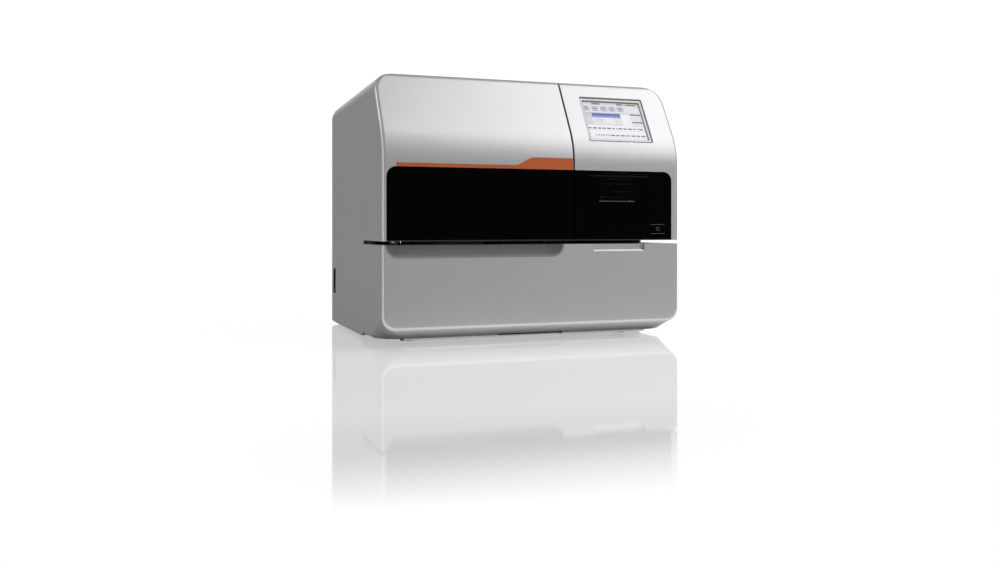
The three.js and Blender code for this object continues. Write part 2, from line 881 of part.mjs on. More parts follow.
function makeFascia() {
  let fascia = bandPanel.intersect(block(housingLeft + fitGap, far, -far, far, 0, far));
  const openTop = doorTop + seamGap;
  fascia = fascia.subtract(block(
    doorLeft - seamGap, doorRight + seamGap, -far, far, doorLow - seamGap, openTop,
  ));
  const buttonOutline = buttonShape(fitGap);
  fascia = fascia.subtract(frontPrism(buttonOutline, -far, far, 3));
  for (const [x0, x1] of [
    [doorLeft - seamGap - doorEar, doorLeft - seamGap],
    [doorRight + seamGap, doorRight + seamGap + doorEar],
  ]) {
    const lug = block(x0, x1, windowFace + seamGap, doorAxisY + doorPinRadius * 3, lugLow, lugHigh);
    fascia = fascia.add(lug);
    fascia = fascia.subtract(bar(
      'x', doorPinRadius + fitGap, x0 - overrun, x1 + overrun, doorAxisY, doorAxisZ, 10,
    ));
  }
  return fascia;
}

function buttonShape(margin) {
  return roundedOutline(
    buttonCentreX - buttonWidth / 2 - margin, buttonCentreX + buttonWidth / 2 + margin,
    buttonCentreZ - buttonHigh / 2 - margin, buttonCentreZ + buttonHigh / 2 + margin,
    buttonRadius, buttonRadius,
  );
}

addPart('right_fascia', makeFascia(), 'black');

function makePrinterDoor() {
  const back = windowFace + doorThick;
  const outline = new THREE.Shape();
  outline.moveTo(windowFace, doorLow);
  outline.lineTo(back, doorLow);
  outline.lineTo(back, doorAxisZ + doorPinRadius + fitGap);
  outline.lineTo(doorAxisY, doorAxisZ + doorPinRadius + fitGap);
  outline.lineTo(doorAxisY, doorTop);
  outline.absarc(doorAxisY, doorAxisZ, doorBend, Math.PI / 2, Math.PI, false);
  outline.closePath();
  let door = sidePrism(outline, doorLeft, doorRight, 5);
  const earBack = doorAxisY + doorPinRadius * 2.5;
  for (const x of [doorLeft, doorRight - doorEar]) {
    door = door.add(block(
      x, x + doorEar, windowFace + seamGap, earBack, lugLow, doorAxisZ + doorPinRadius * 2.5,
    ));
    door = door.subtract(bar(
      'x', doorPinRadius + fitGap, x - overrun, x + doorEar + overrun, doorAxisY, doorAxisZ, 10,
    ));
  }
  door = door.subtract(block(
    paperSlotLeft, paperSlotRight, -far, far,
    paperSlotZ - paperSlotHigh / 2, paperSlotZ + paperSlotHigh / 2,
  ));
  for (const z of louvreZs) {
    door = door.subtract(block(
      paperSlotLeft, paperSlotRight, -far, doorAxisY + overrun, z - louvreHigh / 2, z + louvreHigh / 2,
    ));
  }
  return door;
}

addPart('printer_door', makePrinterDoor(), 'black');
addPart('printer_door_rod', bar(
  'x', doorPinRadius, doorLeft - seamGap - doorEar, doorRight + seamGap + doorEar,
  doorAxisY, doorAxisZ, 10,
), 'bright');

addPart('start_button', joined(
  frontPrism(buttonShape(0), windowFace, windowFace + buttonDeep, 3),
  block(
    buttonCentreX - buttonWidth / 2 - buttonFlange, buttonCentreX + buttonWidth / 2 + buttonFlange,
    windowBack + fitGap, windowFace + buttonDeep,
    buttonCentreZ - buttonHigh / 2 - buttonFlange, buttonCentreZ + buttonHigh / 2 + buttonFlange,
  ),
), 'black');

// Lower front cover with its flat top, bay opening and finger recesses
function recessPair(left, right, drop, deep, radius) {
  const outline = roundedOutline(left, right, lowerCoverTop - drop, lowerCoverTop + drop, radius, 1);
  const cut = frontPrism(outline, frontY - overrun, frontY + deep, 4);
  const linerOutline = roundedOutline(
    left - wall, right + wall, lowerCoverTop - drop - wall, lowerCoverTop + drop, radius + wall, 1,
  );
  const liner = frontPrism(linerOutline, frontY - overrun, frontY + deep + wall, 4);
  return [cut, liner];
}

// A grip let into the lower edge, which frees the cover from below
const undersideGrip = block(
  -gripWide / 2, gripWide / 2, -far, frontY + rimDepth + gripDeep, 0, lowerCoverBottom + gripHigh,
);

function makeLowerCover() {
  const reach = block(-far, far, -far, joinY, 0, lowerCoverTop);
  const ceiling = block(-far, far, -far, far, lowerCoverTop - wall, far);
  const shell = frontOuter.intersect(reach);
  let cover = shell.subtract(frontInner.subtract(ceiling));
  const pairs = [
    recessPair(recessLeft, recessRight, recessDrop, recessDepth, recessRadius),
    recessPair(shallowLeft, shallowRight, shallowDrop, shallowDepth, shallowRadius),
  ];
  for (const [cut, liner] of pairs) {
    cover = cover.add(shell.intersect(liner)).subtract(cut);
  }
  const bayLeft = -halfWidth + wall + bayInset;
  cover = cover.subtract(block(
    bayLeft, bayRight, frontY + recessDepth + wall, joinY + overrun,
    lowerCoverTop - wall - fitGap, lowerCoverTop + overrun,
  ));
  return cover.subtract(undersideGrip);
}

addPart('lower_front_cover', makeLowerCover(), 'silver');

// Rear body covers
const topSplit = halfWidth - topCornerRadius - wall * 2;
const rearRegion = block(-far, far, coverY, far, 0, far);
const skirtOpening = block(
  -halfWidth + baseEdge - fitGap, halfWidth - baseEdge + fitGap, -far, rearY - wall,
  -far, baseTop + overrun,
);
const panelOpening = block(
  -panelHalf - fitGap, panelHalf + fitGap, rearY - wall - fitGap, far,
  panelLow - fitGap, panelHigh + fitGap,
);
const rearShell = rearOuter.intersect(rearRegion)
  .subtract(rearInner)
  .subtract(skirtOpening)
  .subtract(panelOpening);
const splitGap = seamGap / 2;
const rearTopFrom = height - topFall - rearTopRadius;

function sideCoverRegion(sign) {
  const lowX = sign < 0 ? -far : topSplit + splitGap;
  const highX = sign < 0 ? -topSplit - splitGap : far;
  const upright = block(lowX, highX, -far, far, 0, far);
  const midX = sign < 0 ? [-far, 0 - splitGap] : [splitGap, far];
  return upright.add(block(midX[0], midX[1], -far, far, 0, panelLow + splitGap));
}

const switchCut = block(
  -far, -halfWidth + switchDeep, switchY - switchWide / 2 - fitGap, switchY + switchWide / 2 + fitGap,
  switchZ - switchHigh / 2 - fitGap, switchZ + switchHigh / 2 + fitGap,
);
addPart('left_side_cover', rearShell.intersect(sideCoverRegion(-1)).subtract(switchCut), 'silver');
addPart('right_side_cover', rearShell.intersect(sideCoverRegion(1)), 'silver');
addPart('top_cover', rearShell.intersect(
  block(-topSplit + splitGap, topSplit - splitGap, -far, far, rearTopFrom - rearTopRadius, far),
), 'silver');

// Base plate, feet, middle wall, deck and bay wall
const footPlaces = [
  [-halfWidth + footInsetX, frontY + footInsetFront],
  [halfWidth - footInsetX, frontY + footInsetFront],
  [-halfWidth + footInsetX, rearY - footInsetRear],
  [halfWidth - footInsetX, rearY - footInsetRear],
];
footPlaces.forEach(([x, y], index) => {
  addPart(`rubber_foot_${index + 1}`, bar('z', footRadius, 0, footHeight, x, y, 20), 'rubber');
});

const baseHalf = halfWidth - baseEdge;
const baseRear = rearY - wall - fitGap;
addPart('chassis_base', joined(
  block(-baseHalf, baseHalf, coverY + fitGap, baseRear, baseLow, baseTop),
  block(
    -baseHalf + baseCornerInset, baseHalf - baseCornerInset,
    frontY + baseFrontSetback, coverY + overrun, baseLow, baseTop,
  ),
).subtract(undersideGrip), 'steel');

const wallLow = baseTop + fitGap;
const panelInside = rearY - wall - fitGap;
const centreWallTop = height - wall - topFall - fitGap;
function makeCentreWall() {
  const corner = rearTopRadius;
  const outline = new THREE.Shape();
  outline.moveTo(joinY + fitGap, wallLow);
  outline.lineTo(panelInside - fitGap, wallLow);
  outline.lineTo(panelInside - fitGap, centreWallTop - corner);
  outline.absarc(panelInside - fitGap - corner, centreWallTop - corner, corner, 0, Math.PI / 2, false);
  outline.lineTo(joinY + fitGap, centreWallTop);
  outline.closePath();
  return sidePrism(outline, centreWallLeft, centreWallLeft + wall, 4);
}
addPart('centre_wall', makeCentreWall(), 'steel');

const bayWallLeft = -halfWidth + baseEdge;
const bayRightFace = centreWallLeft - fitGap;
const beltY = bayWallY - overrun - pulleyWide / 2;
addPart('bay_rear_wall', joined(
  block(bayWallLeft, bayRightFace, bayWallY, bayWallY + wall, wallLow, bayWallTop),
  bar('y', shaftRadius, beltY - pulleyWide, bayWallY + wall / 2, idlerPulleyX, pulleyZ, 12),
).subtract(bar('y', shaftRadius + fitGap, 0, far, drivePulleyX, pulleyZ, 12)), 'steel');

function makeDeck() {
  const deckRear = bayWallY - fitGap;
  const deckRight = bayRightFace - fitGap;
  const legFront = beamFront + beamDeep + fitGap;
  let deck = block(deckLeft, deckRight, deckFront, deckRear, deckTop - wall, deckTop);
  for (const x of [deckLeft, deckRight - legThick]) {
    deck = deck.add(block(x, x + legThick, legFront, deckRear, wallLow, deckTop));
  }
  const lipRise = lowerCoverTop - wall - fitGap;
  deck = deck.add(block(deckLeft, deckRight, deckFront, deckFront + legThick, deckTop - wall, lipRise));
  const needleX = homeX - armWide / 2 - sleeve - fitGap - toolWide / 2;
  return deck.subtract(bar('z', drainRadius, 0, far, needleX, homeY, 16));
}
addPart('work_deck', makeDeck(), 'bright');

// Gantry: rail, belt drive, carriage with arm, slide on the arm, probe and catcher
const railBack = railFront + railSize;
addPart('x_rail', joined(
  block(railLeft, railRight, railFront, railBack, railZ, railZ + railSize),
  block(railLeft, railLeft + railSize, railFront, bayWallY - fitGap, railZ, railZ + railSize),
  block(railRight - railSize, railRight, railFront, bayWallY - fitGap, railZ, railZ + railSize),
), 'bright');

function makePulley(x) {
  const face = beltY - pulleyWide / 2;
  const back = beltY + pulleyWide / 2;
  const rim = pulleyRadius + pulleyRim;
  return joined(
    bar('y', pulleyRadius, face, back, x, pulleyZ, 20),
    bar('y', rim, face - pulleyRim, face, x, pulleyZ, 20),
    bar('y', rim, back, back + pulleyRim, x, pulleyZ, 20),
  );
}
const pulleyBore = (x) => bar('y', shaftRadius + fitGap, 0, far, x, pulleyZ, 12);
addPart('drive_pulley', makePulley(drivePulleyX), 'bright');
addPart('idler_pulley', makePulley(idlerPulleyX).subtract(pulleyBore(idlerPulleyX)), 'bright');

function beltLoop(radius, y0, y1) {
  const outline = new THREE.Shape();
  outline.moveTo(idlerPulleyX, pulleyZ - radius);
  outline.lineTo(drivePulleyX, pulleyZ - radius);
  outline.absarc(drivePulleyX, pulleyZ, radius, -Math.PI / 2, Math.PI / 2, false);
  outline.lineTo(idlerPulleyX, pulleyZ + radius);
  outline.absarc(idlerPulleyX, pulleyZ, radius, Math.PI / 2, Math.PI * 1.5, false);
  return frontPrism(outline, y0, y1, 10);
}
const beltInner = pulleyRadius + fitGap;
addPart('drive_belt', beltLoop(beltInner + beltThick, beltY - beltWide / 2, beltY + beltWide / 2)
  .subtract(beltLoop(beltInner, beltY - beltWide, beltY + beltWide)), 'rubber');

const motorY = bayWallY + wall + fitGap;
addPart('x_motor', joined(
  block(
    drivePulleyX - motorSize / 2, drivePulleyX + motorSize / 2, motorY, motorY + motorLong,
    pulleyZ - motorSize / 2, pulleyZ + motorSize / 2,
  ).intersect(block(-far, bayRightFace - fitGap, -far, far, 0, far)),
  bar('y', shaftRadius, beltY + pulleyWide / 2 + pulleyRim + fitGap, motorY + overrun, drivePulleyX, pulleyZ, 12),
), 'dark');

const armTop = railZ + railSize / 2 - armDrop / 2;
const armLow = armTop - armHigh;
function makeXCarriage() {
  const front = railFront - carriageThick;
  const left = homeX - carriageWide / 2;
  const right = homeX + carriageWide / 2;
  const lowLip = railZ - fitGap - wall;
  const highLip = railZ + railSize + fitGap + wall;
  const lipBack = railBack - fitGap;
  const clampTop = pulleyZ - beltInner - beltThick - fitGap;
  return joined(
    block(left, right, front, railFront - fitGap, armLow, highLip),
    block(left, right, front, lipBack, railZ + railSize + fitGap, highLip),
    block(left, right, front, lipBack, lowLip, railZ - fitGap),
    block(left, right, front, beltY + beltWide / 2, highLip - wall, clampTop),
    block(homeX - armWide / 2, homeX + armWide / 2, armFront, front, armLow, armTop),
  );
}
addPart('x_carriage', makeXCarriage(), 'dark');

const yHalf = yCarriageLong / 2;
const sleeveSide = armWide / 2 + sleeve;
addPart('y_carriage', block(
  homeX - sleeveSide, homeX + sleeveSide, homeY - yHalf, homeY + yHalf, armLow - sleeve, armTop + sleeve,
).subtract(block(
  homeX - armWide / 2 - fitGap, homeX + armWide / 2 + fitGap, -far, far, armLow - fitGap, armTop + fitGap,
)), 'steel');

const probeRight = homeX - sleeveSide - fitGap;
const probeLeft = probeRight - toolWide;
const needleX = (probeLeft + probeRight) / 2;
addPart('probe_holder', block(
  probeLeft, probeRight, homeY - toolThick / 2, homeY + toolThick / 2, probeBarLow, probeBarHigh,
), 'white');
addPart('probe_needle', bar(
  'z', needleRadius, probeBarLow - needleLong, probeBarLow - fitGap, needleX, homeY, 8,
), 'bright');

const catcherLeft = homeX + sleeveSide + fitGap;
const catcherRight = catcherLeft + toolWide;
const jawLow = catcherBarLow - toolThick;
addPart('tube_catcher', joined(
  block(
    catcherLeft, catcherRight, homeY - toolThick / 2, homeY + toolThick / 2,
    catcherBarLow, catcherBarHigh,
  ),
  block(catcherLeft, catcherLeft + catcherJaw, homeY - catcherJaw, homeY + catcherJaw, jawLow, catcherBarLow),
  block(catcherRight - catcherJaw, catcherRight, homeY - catcherJaw, homeY + catcherJaw, jawLow, catcherBarLow),
), 'dark');

// Racks, vials and blocks on the deck
const deckSeat = deckTop + fitGap;
const rackRight = rackLeft + tubeCount * tubeSpacing;
const rackMidY = rackFront + rackDeep / 2;
const tubeFloor = deckSeat + wall + fitGap;
function makeSampleRack() {
  let rack = block(rackLeft, rackRight, rackFront, rackFront + rackDeep, deckSeat, deckSeat + rackHigh);
  for (let index = 0; index < tubeCount; index += 1) {
    const x = rackLeft + (index + 0.5) * tubeSpacing;
    rack = rack.subtract(bar(
      'z', tubeRadius + fitGap, deckSeat + wall, far, x, rackMidY, 12,
    ));
  }
  return rack;
}
addPart('sample_rack', makeSampleRack(), 'dark');

tubePlaces.forEach((place, index) => {
  const x = rackLeft + (place + 0.5) * tubeSpacing;
  const tube = cup(x, rackMidY, tubeFloor, tubeRadius, tubeLong, tubeWall, 12);
  addPart(`sample_tube_${index + 1}`, tube, 'clear');
});

const vialYs = Array.from({ length: vialRows }, (_, row) => vialFirstY + row * vialSpacing);
let reagentBlock = block(
  vialX - vialBlockMargin, vialX + vialBlockMargin,
  vialFirstY - vialBlockMargin, vialFirstY + (vialRows - 1) * vialSpacing + vialBlockMargin,
  deckSeat, deckSeat + vialBlockHigh,
);
for (const y of vialYs) {
  reagentBlock = reagentBlock.subtract(bar('z', vialRadius + fitGap, 0, far, vialX, y, 14));
}
addPart('reagent_block', reagentBlock, 'bright');
vialLoads.forEach((row, index) => {
  const vial = cup(vialX, vialYs[row], deckSeat, vialRadius, vialLong, vialWall, 14);
  addPart(`reagent_vial_${index + 1}`, vial, 'clear');
});

const cuvettePlaces = [];
for (let column = 0; column < cuvetteColumns; column += 1) {
  for (let row = 0; row < cuvetteRows; row += 1) {
    cuvettePlaces.push([cuvetteFirstX + column * cuvetteSpacing, cuvetteFirstY + row * cuvetteSpacing]);
  }
}
let cuvetteRack = block(
  cuvetteFirstX - cuvetteMargin, cuvetteFirstX + (cuvetteColumns - 1) * cuvetteSpacing + cuvetteMargin,
  cuvetteFirstY - cuvetteMargin, cuvetteFirstY + (cuvetteRows - 1) * cuvetteSpacing + cuvetteMargin,
  deckSeat, deckSeat + cuvetteRackHigh,
);
for (const [x, y] of cuvettePlaces) {
  cuvetteRack = cuvetteRack.subtract(bar('z', cuvetteRadius + fitGap, deckSeat + wall, far, x, y, 8));
}
addPart('cuvette_rack', cuvetteRack, 'white');
const stripFloor = deckSeat + wall + fitGap;
for (let row = 0; row < cuvetteRows; row += 1) {
  const y = cuvetteFirstY + row * cuvetteSpacing;
  const places = cuvettePlaces.filter((place) => place[1] === y);
  const webTop = stripFloor + cuvetteLong;
  const web = block(
    places[0][0], places[cuvetteColumns - 1][0], y - cuvetteRadius / 2, y + cuvetteRadius / 2,
    webTop - cuvetteWeb, webTop,
  );
  let strip = joined(web, ...places.map(
    (place) => cup(place[0], y, stripFloor, cuvetteRadius, cuvetteLong, cuvetteWall, 8),
  ));
  for (const [x] of places) {
    const mouth = cuvetteRadius - cuvetteWall;
    strip = strip.subtract(bar('z', mouth, webTop - fillDrop, far, x, y, 8));
  }
  addPart(`cuvette_strip_${row + 1}`, strip, 'clear');
}

let detector = block(
  detectorLeft, detectorRight, detectorFront, detectorRear, deckSeat, deckSeat + detectorHigh,
);
for (let index = 0; index < wellCount; index += 1) {
  const y = detectorFront + ((index + 0.5) * (detectorRear - detectorFront)) / wellCount;
  detector = detector.subtract(bar(
    'z', wellRadius, deckSeat + detectorHigh - wellDeep, far, (detectorLeft + detectorRight) / 2, y, 10,
  ));
}
addPart('detector_block', detector, 'dark');

// Rear panel, fan, guard, inlet, hose nipples and screws
const panelY = rearY - wall;
const inletLow = inletZ - inletHigh / 2;
const inletLeft = inletX - inletWide / 2;
function makeRearPanel() {
  let panel = block(-panelHalf, panelHalf, panelY, rearY, panelLow, panelHigh);
  panel = panel.subtract(bar('y', fanBore, 0, far, fanX, fanZ, 28));
  panel = panel.subtract(block(
    inletLeft - fitGap, inletLeft + inletWide + fitGap, 0, far,
    inletLow - fitGap, inletLow + inletHigh + fitGap,
  ));
  for (let index = 0; index < ventCount; index += 1) {
    const z = ventZ + index * ventSpacing;
    panel = panel.subtract(block(ventX - ventLong / 2, ventX + ventLong / 2, 0, far, z, z + ventHigh));
  }
  return panel;
}
addPart('rear_panel', makeRearPanel(), 'silver');

const fanBack = panelY - fitGap;
const fanFront = fanBack - fanDeep;
const spokeHalf = guardWire * 1.5;
addPart('fan_frame', joined(
  block(
    fanX - fanSize / 2, fanX + fanSize / 2, fanFront, fanBack, fanZ - fanSize / 2, fanZ + fanSize / 2,
  ).subtract(bar('y', fanBore, 0, far, fanX, fanZ, 28)),
  bar('y', fanHub, fanFront, fanFront + wall, fanX, fanZ, 20),
  bar('y', shaftRadius, fanFront, fanBack - fanDeep / 3, fanX, fanZ, 12),
  block(
    fanX - fanBore - guardWire, fanX + fanBore + guardWire, fanFront, fanFront + wall,
    fanZ - spokeHalf, fanZ + spokeHalf,
  ),
), 'dark');

function makeFanRotor() {
  const front = fanFront + wall + seamGap;
  const back = fanBack - seamGap;
  let rotor = bar('y', fanHub, front, back, fanX, fanZ, 20);
  const bladeCount = 7;
  for (let index = 0; index < bladeCount; index += 1) {
    const blade = new THREE.BoxGeometry(fanVaneReach - fanHub / 2, back - front - seamGap * 2, fanVaneThick);
    blade.rotateX(slantAngle);
    blade.translate((fanVaneReach + fanHub / 2) / 2, 0, 0);
    blade.rotateY((index / bladeCount) * Math.PI * 2);
    blade.translate(fanX, (front + back) / 2, fanZ);
    rotor = rotor.add(toSolid(blade).intersect(block(-far, far, front, back, 0, far)));
  }
  return rotor.subtract(bar('y', shaftRadius + fitGap, 0, fanBack - fanDeep / 3 + fitGap, fanX, fanZ, 12));
}
addPart('fan_rotor', makeFanRotor(), 'dark');

function makeFanGuard() {
  const y0 = rearY + fitGap;
  const arms = [];
  for (const angle of [Math.PI / 4, -Math.PI / 4]) {
    const arm = new THREE.BoxGeometry(fanBore * 2 + overrun * 2, guardWire, guardWire);
    arm.rotateY(angle);
    arm.translate(fanX, y0 + guardWire / 2, fanZ);
    arms.push(toSolid(arm));
  }
  const rings = guardRadii.map((radius) => (
    ringAbout(fanX, fanZ, radius, radius + guardWire, y0, y0 + guardWire, 24)
  ));
  return joined(...arms, ...rings);
}
addPart('fan_guard', makeFanGuard(), 'bright');

function makeInlet() {
  const face = rearY + fitGap;
  const body = block(inletLeft, inletLeft + inletWide, face - inletDeep, face, inletLow, inletLow + inletHigh);
  const flange = block(
    inletLeft - inletFlange, inletLeft + inletWide + inletFlange, face, face + inletFlange,
    inletLow - inletFlange, inletLow + inletHigh + inletFlange,
  );
  const mouthWide = inletWide / 4;
  const mouthHigh = inletHigh / 3;
  const socket = block(
    inletX - mouthWide, inletX + mouthWide, face - inletDeep + wall, far,
    inletZ - mouthHigh, inletZ + mouthHigh,
  );
  let inlet = joined(body, flange).subtract(socket);
  for (const offset of [-1, 0, 1]) {
    const x = inletX + (offset * mouthWide) / 2;
    inlet = inlet.add(block(
      x - seamGap, x + seamGap, face - inletDeep, face - wall, inletZ - mouthHigh / 2, inletZ + mouthHigh / 3,
    ));
  }
  return inlet;
}
addPart('power_inlet', makeInlet(), 'dark');

function makePorts() {
  const face = rearY + fitGap;
  const last = portX + (portCount - 1) * portSpacing;
  let ports = block(
    portX - portSpacing / 2, last + portSpacing / 2, face, face + portPlate,
    portZ - portSpacing / 2, portZ + portSpacing / 2,
  );
  for (let index = 0; index < portCount; index += 1) {
    const x = portX + index * portSpacing;
    const nipple = bar('y', portRadius, face, depth / 2, x, portZ, 14);
    const collar = bar('y', portRadius + seamGap, depth / 2 - wall * 2, depth / 2 - wall, x, portZ, 14);
    ports = joined(ports, nipple, collar);
  }
  for (let index = 0; index < portCount; index += 1) {
    const x = portX + index * portSpacing;
    ports = ports.subtract(bar('y', portBore, face + portPlate / 2, far, x, portZ, 10));
  }
  return ports;
}
addPart('hose_nipples', makePorts(), 'bright');

// Mains switch: a rim let into the left side and a rocker that tips about Y
const switchFace = -halfWidth + seamGap;
const rockerHigh = switchHigh - switchRim * 2;
const rockerWide = switchWide - switchRim * 2;
const rockerPivotX = switchFace + switchDeep / 2;
addPart('switch_bezel', block(
  switchFace, switchFace + switchDeep, switchY - switchWide / 2, switchY + switchWide / 2,
  switchZ - switchHigh / 2, switchZ + switchHigh / 2,
).subtract(block(
  -far, switchFace + switchDeep - wall, switchY - rockerWide / 2 - seamGap, switchY + rockerWide / 2 + seamGap,
  switchZ - rockerHigh / 2 - seamGap, switchZ + rockerHigh / 2 + seamGap,
)).add(joined(...[-1, 1].map((side) => bar(
  'y', shaftRadius / 2,
  switchY + side * (rockerWide / 2) - (side < 0 ? seamGap * 2 : -fitGap),
  switchY + side * (rockerWide / 2) + (side < 0 ? -fitGap : seamGap * 2),
  rockerPivotX, switchZ, 8,
)))), 'dark');

function makeRocker() {
  const outline = new THREE.Shape();
  const half = rockerHigh / 2;
  const back = switchDeep / 5;
  const face = -switchDeep / 2 + rockerSunk;
  outline.moveTo(face, -half + seamGap);
  outline.lineTo(back, -half / 2);
  outline.lineTo(back, half / 2);
  outline.lineTo(face, half - seamGap);
  outline.lineTo(face + rockerWedge, 0);
  outline.closePath();
  const geometry = new THREE.ExtrudeGeometry(outline, { depth: rockerWide, bevelEnabled: false });
  geometry.translate(0, 0, -rockerWide / 2);
  geometry.rotateX(Math.PI / 2);
  geometry.rotateY(rockerTilt);
  geometry.translate(rockerPivotX, switchY, switchZ);
  return toSolid(geometry);
}
addPart('mains_rocker', makeRocker(), 'dark');

// Printer behind the door
const frameLeft = rollerX - rollWide / 2 - frameGap - frameThick;
const frameRight = rollerX + rollWide / 2 + frameGap;
const printerLow = upperBottom + wall + fitGap;
const frameFront = platenY - platenRadius - frameThick;
const frameRear = rollY + rollRadius + frameThick * 2;
const printerHigh = platenZ + headHigh;
function makePrinterFrame() {
  let frame = joined(
    block(frameLeft, frameLeft + frameThick, frameFront, frameRear, printerLow, printerHigh),
    block(frameRight, frameRight + frameThick, frameFront, frameRear, printerLow, printerHigh),
    block(frameLeft, frameRight + frameThick, frameRear - frameThick, frameRear, printerLow, printerHigh),
  );
  frame = joined(
    frame,
    block(frameLeft, frameRight, frameRear - rollRadius, frameRear, printerLow, printerLow + frameThick),
  );
  for (const [radius, y, z] of [[spindleRadius, rollY, rollZ], [spindleRadius, platenY, platenZ]]) {
    frame = frame.subtract(bar('x', radius + fitGap, 0, far, y, z, 12));
  }
  return frame;
}

const spindleLeft = frameLeft - frameThick / 2;
const spindleRight = frameRight + frameThick * 1.5;
const rollLeft = rollerX - rollWide / 2;
const rollRight = rollerX + rollWide / 2;
addPart('paper_roll', joined(
  bar('x', rollRadius, rollLeft, rollRight, rollY, rollZ, 28),
  bar('x', rollCore, rollLeft - frameGap / 2, rollRight + frameGap / 2, rollY, rollZ, 16),
  bar('x', spindleRadius, spindleLeft, spindleRight, rollY, rollZ, 12),
), 'white');
addPart('platen_roller', joined(
  bar('x', platenRadius, rollLeft, rollRight, platenY, platenZ, 16),
  bar('x', spindleRadius, spindleLeft, spindleRight, platenY, platenZ, 12),
), 'rubber');
addPart('printer_frame', makePrinterFrame().add(block(
  frameLeft, frameRight + frameThick,
  platenY + platenRadius + fitGap, platenY + platenRadius + fitGap + headThick,
  platenZ - headHigh / 2, platenZ + headHigh / 2,
)), 'steel');

// Supply, board and pump
addPart('power_supply', block(
  powerLeft, powerLeft + powerWide, powerFront, powerFront + powerDeep,
  wallLow, wallLow + powerHigh,
), 'steel');

const boardX = centreWallLeft + wall + fitGap + boardStandoff;
function makeBoard() {
  const back = boardFront + boardLong;
  const high = boardLow + boardHigh;
  const parts = [block(boardX, boardX + boardThick, boardFront, back, boardLow, high)];
  for (const y of [boardFront + boardPostInset, back - boardPostInset]) {
    for (const z of [boardLow + boardPostInset, high - boardPostInset]) {
      parts.push(bar('x', boardPostRadius, centreWallLeft + wall + fitGap, boardX + boardThick / 2, y, z, 10));
    }
  }
  const chipFace = boardX + boardThick;
  const chip = boardLong / 8;
  for (const [yShare, zShare, sizeShare] of [
    [0.3, 0.3, 1], [0.62, 0.35, 1.4], [0.35, 0.7, 0.7], [0.7, 0.74, 0.8],
  ]) {
    const y = boardFront + boardLong * yShare;
    const z = boardLow + boardHigh * zShare;
    const half = (chip * sizeShare) / 2;
    parts.push(block(boardX + fitGap, chipFace + wall, y - half, y + half, z - half, z + half));
  }
  return joined(...parts);
}
addPart('control_board', makeBoard(), 'board');

const pumpZ = wallLow + pumpRadius + wall;
addPart('air_pump', joined(
  bar('x', pumpRadius, pumpX - pumpLong / 2, pumpX + pumpLong / 2, pumpY, pumpZ, 20),
  block(pumpX - pumpLong / 2, pumpX, pumpY - pumpRadius, pumpY + pumpRadius, wallLow, pumpZ),
), 'dark');

export default group;
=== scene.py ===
# Bench-top coagulation analyzer: the finished surfaces round the working frame
import json
import math

import bmesh
import bpy
from mathutils import Matrix, Vector


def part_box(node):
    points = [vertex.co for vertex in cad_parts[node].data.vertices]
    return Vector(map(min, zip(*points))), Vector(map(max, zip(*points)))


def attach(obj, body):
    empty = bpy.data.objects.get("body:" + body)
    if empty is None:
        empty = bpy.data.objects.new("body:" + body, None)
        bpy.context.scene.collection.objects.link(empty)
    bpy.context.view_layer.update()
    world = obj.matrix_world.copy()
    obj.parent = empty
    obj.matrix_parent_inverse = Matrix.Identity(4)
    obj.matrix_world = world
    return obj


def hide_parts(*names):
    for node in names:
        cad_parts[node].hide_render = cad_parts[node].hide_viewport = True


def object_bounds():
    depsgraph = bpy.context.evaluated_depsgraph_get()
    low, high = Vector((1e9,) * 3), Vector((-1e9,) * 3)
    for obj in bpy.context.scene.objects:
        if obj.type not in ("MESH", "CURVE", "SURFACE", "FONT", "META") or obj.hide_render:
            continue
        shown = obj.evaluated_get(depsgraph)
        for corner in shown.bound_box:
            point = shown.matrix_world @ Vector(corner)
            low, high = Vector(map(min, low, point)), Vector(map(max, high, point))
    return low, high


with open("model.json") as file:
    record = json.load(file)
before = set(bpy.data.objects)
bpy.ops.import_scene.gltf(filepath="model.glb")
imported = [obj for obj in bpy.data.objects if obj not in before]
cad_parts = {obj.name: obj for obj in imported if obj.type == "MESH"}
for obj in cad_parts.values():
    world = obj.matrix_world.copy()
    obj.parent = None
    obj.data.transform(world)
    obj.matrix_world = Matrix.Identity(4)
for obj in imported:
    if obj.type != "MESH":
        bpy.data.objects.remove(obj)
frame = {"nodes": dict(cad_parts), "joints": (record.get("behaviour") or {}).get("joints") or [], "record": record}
cadLow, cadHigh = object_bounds()
nodes = frame["nodes"]
bpy.context.scene.view_settings.view_transform = "Standard"
print("frame loaded:", len(nodes), "nodes")

# sizes in metres; the places come from the frame's own boxes
mm = 0.001
form = {
    "wall": 3 * mm,
    "archStart": 326 * mm,
    "archRadius": 130 * mm,
    "slant": math.pi / 6,
    "crest": 16 * mm,
    "topCorner": 36 * mm,
    "frontFillet": 8 * mm,
    "rearFillet": 12 * mm,
    "rearTop": 20 * mm,
    "topFall": 14 * mm,
    "skirt": 6 * mm,
    "ringGap": 0.25 * mm,
    "cornerSteps": 10,
}
halfWidth = cadHigh.x
frontY = cadLow.y
crown = cadHigh.z
far = 1.0
over = 10 * mm  # overrun of the cutters
fit = 0.3 * mm
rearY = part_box("rear_panel")[1].y
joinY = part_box("lower_front_cover")[1].y
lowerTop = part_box("lower_front_cover")[1].z
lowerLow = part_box("lower_front_cover")[0].z
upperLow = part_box("light_shield_lid")[0].z
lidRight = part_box("light_shield_lid")[1].x
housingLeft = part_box("display_housing")[0].x
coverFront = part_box("left_side_cover")[0].y
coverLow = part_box("left_side_cover")[0].z
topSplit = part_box("top_cover")[1].x
joints = {joint["name"]: joint for joint in frame["joints"]}
hingeY, hingeZ = joints["lid_hinge"]["pos_m"][1:]
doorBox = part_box("printer_door")


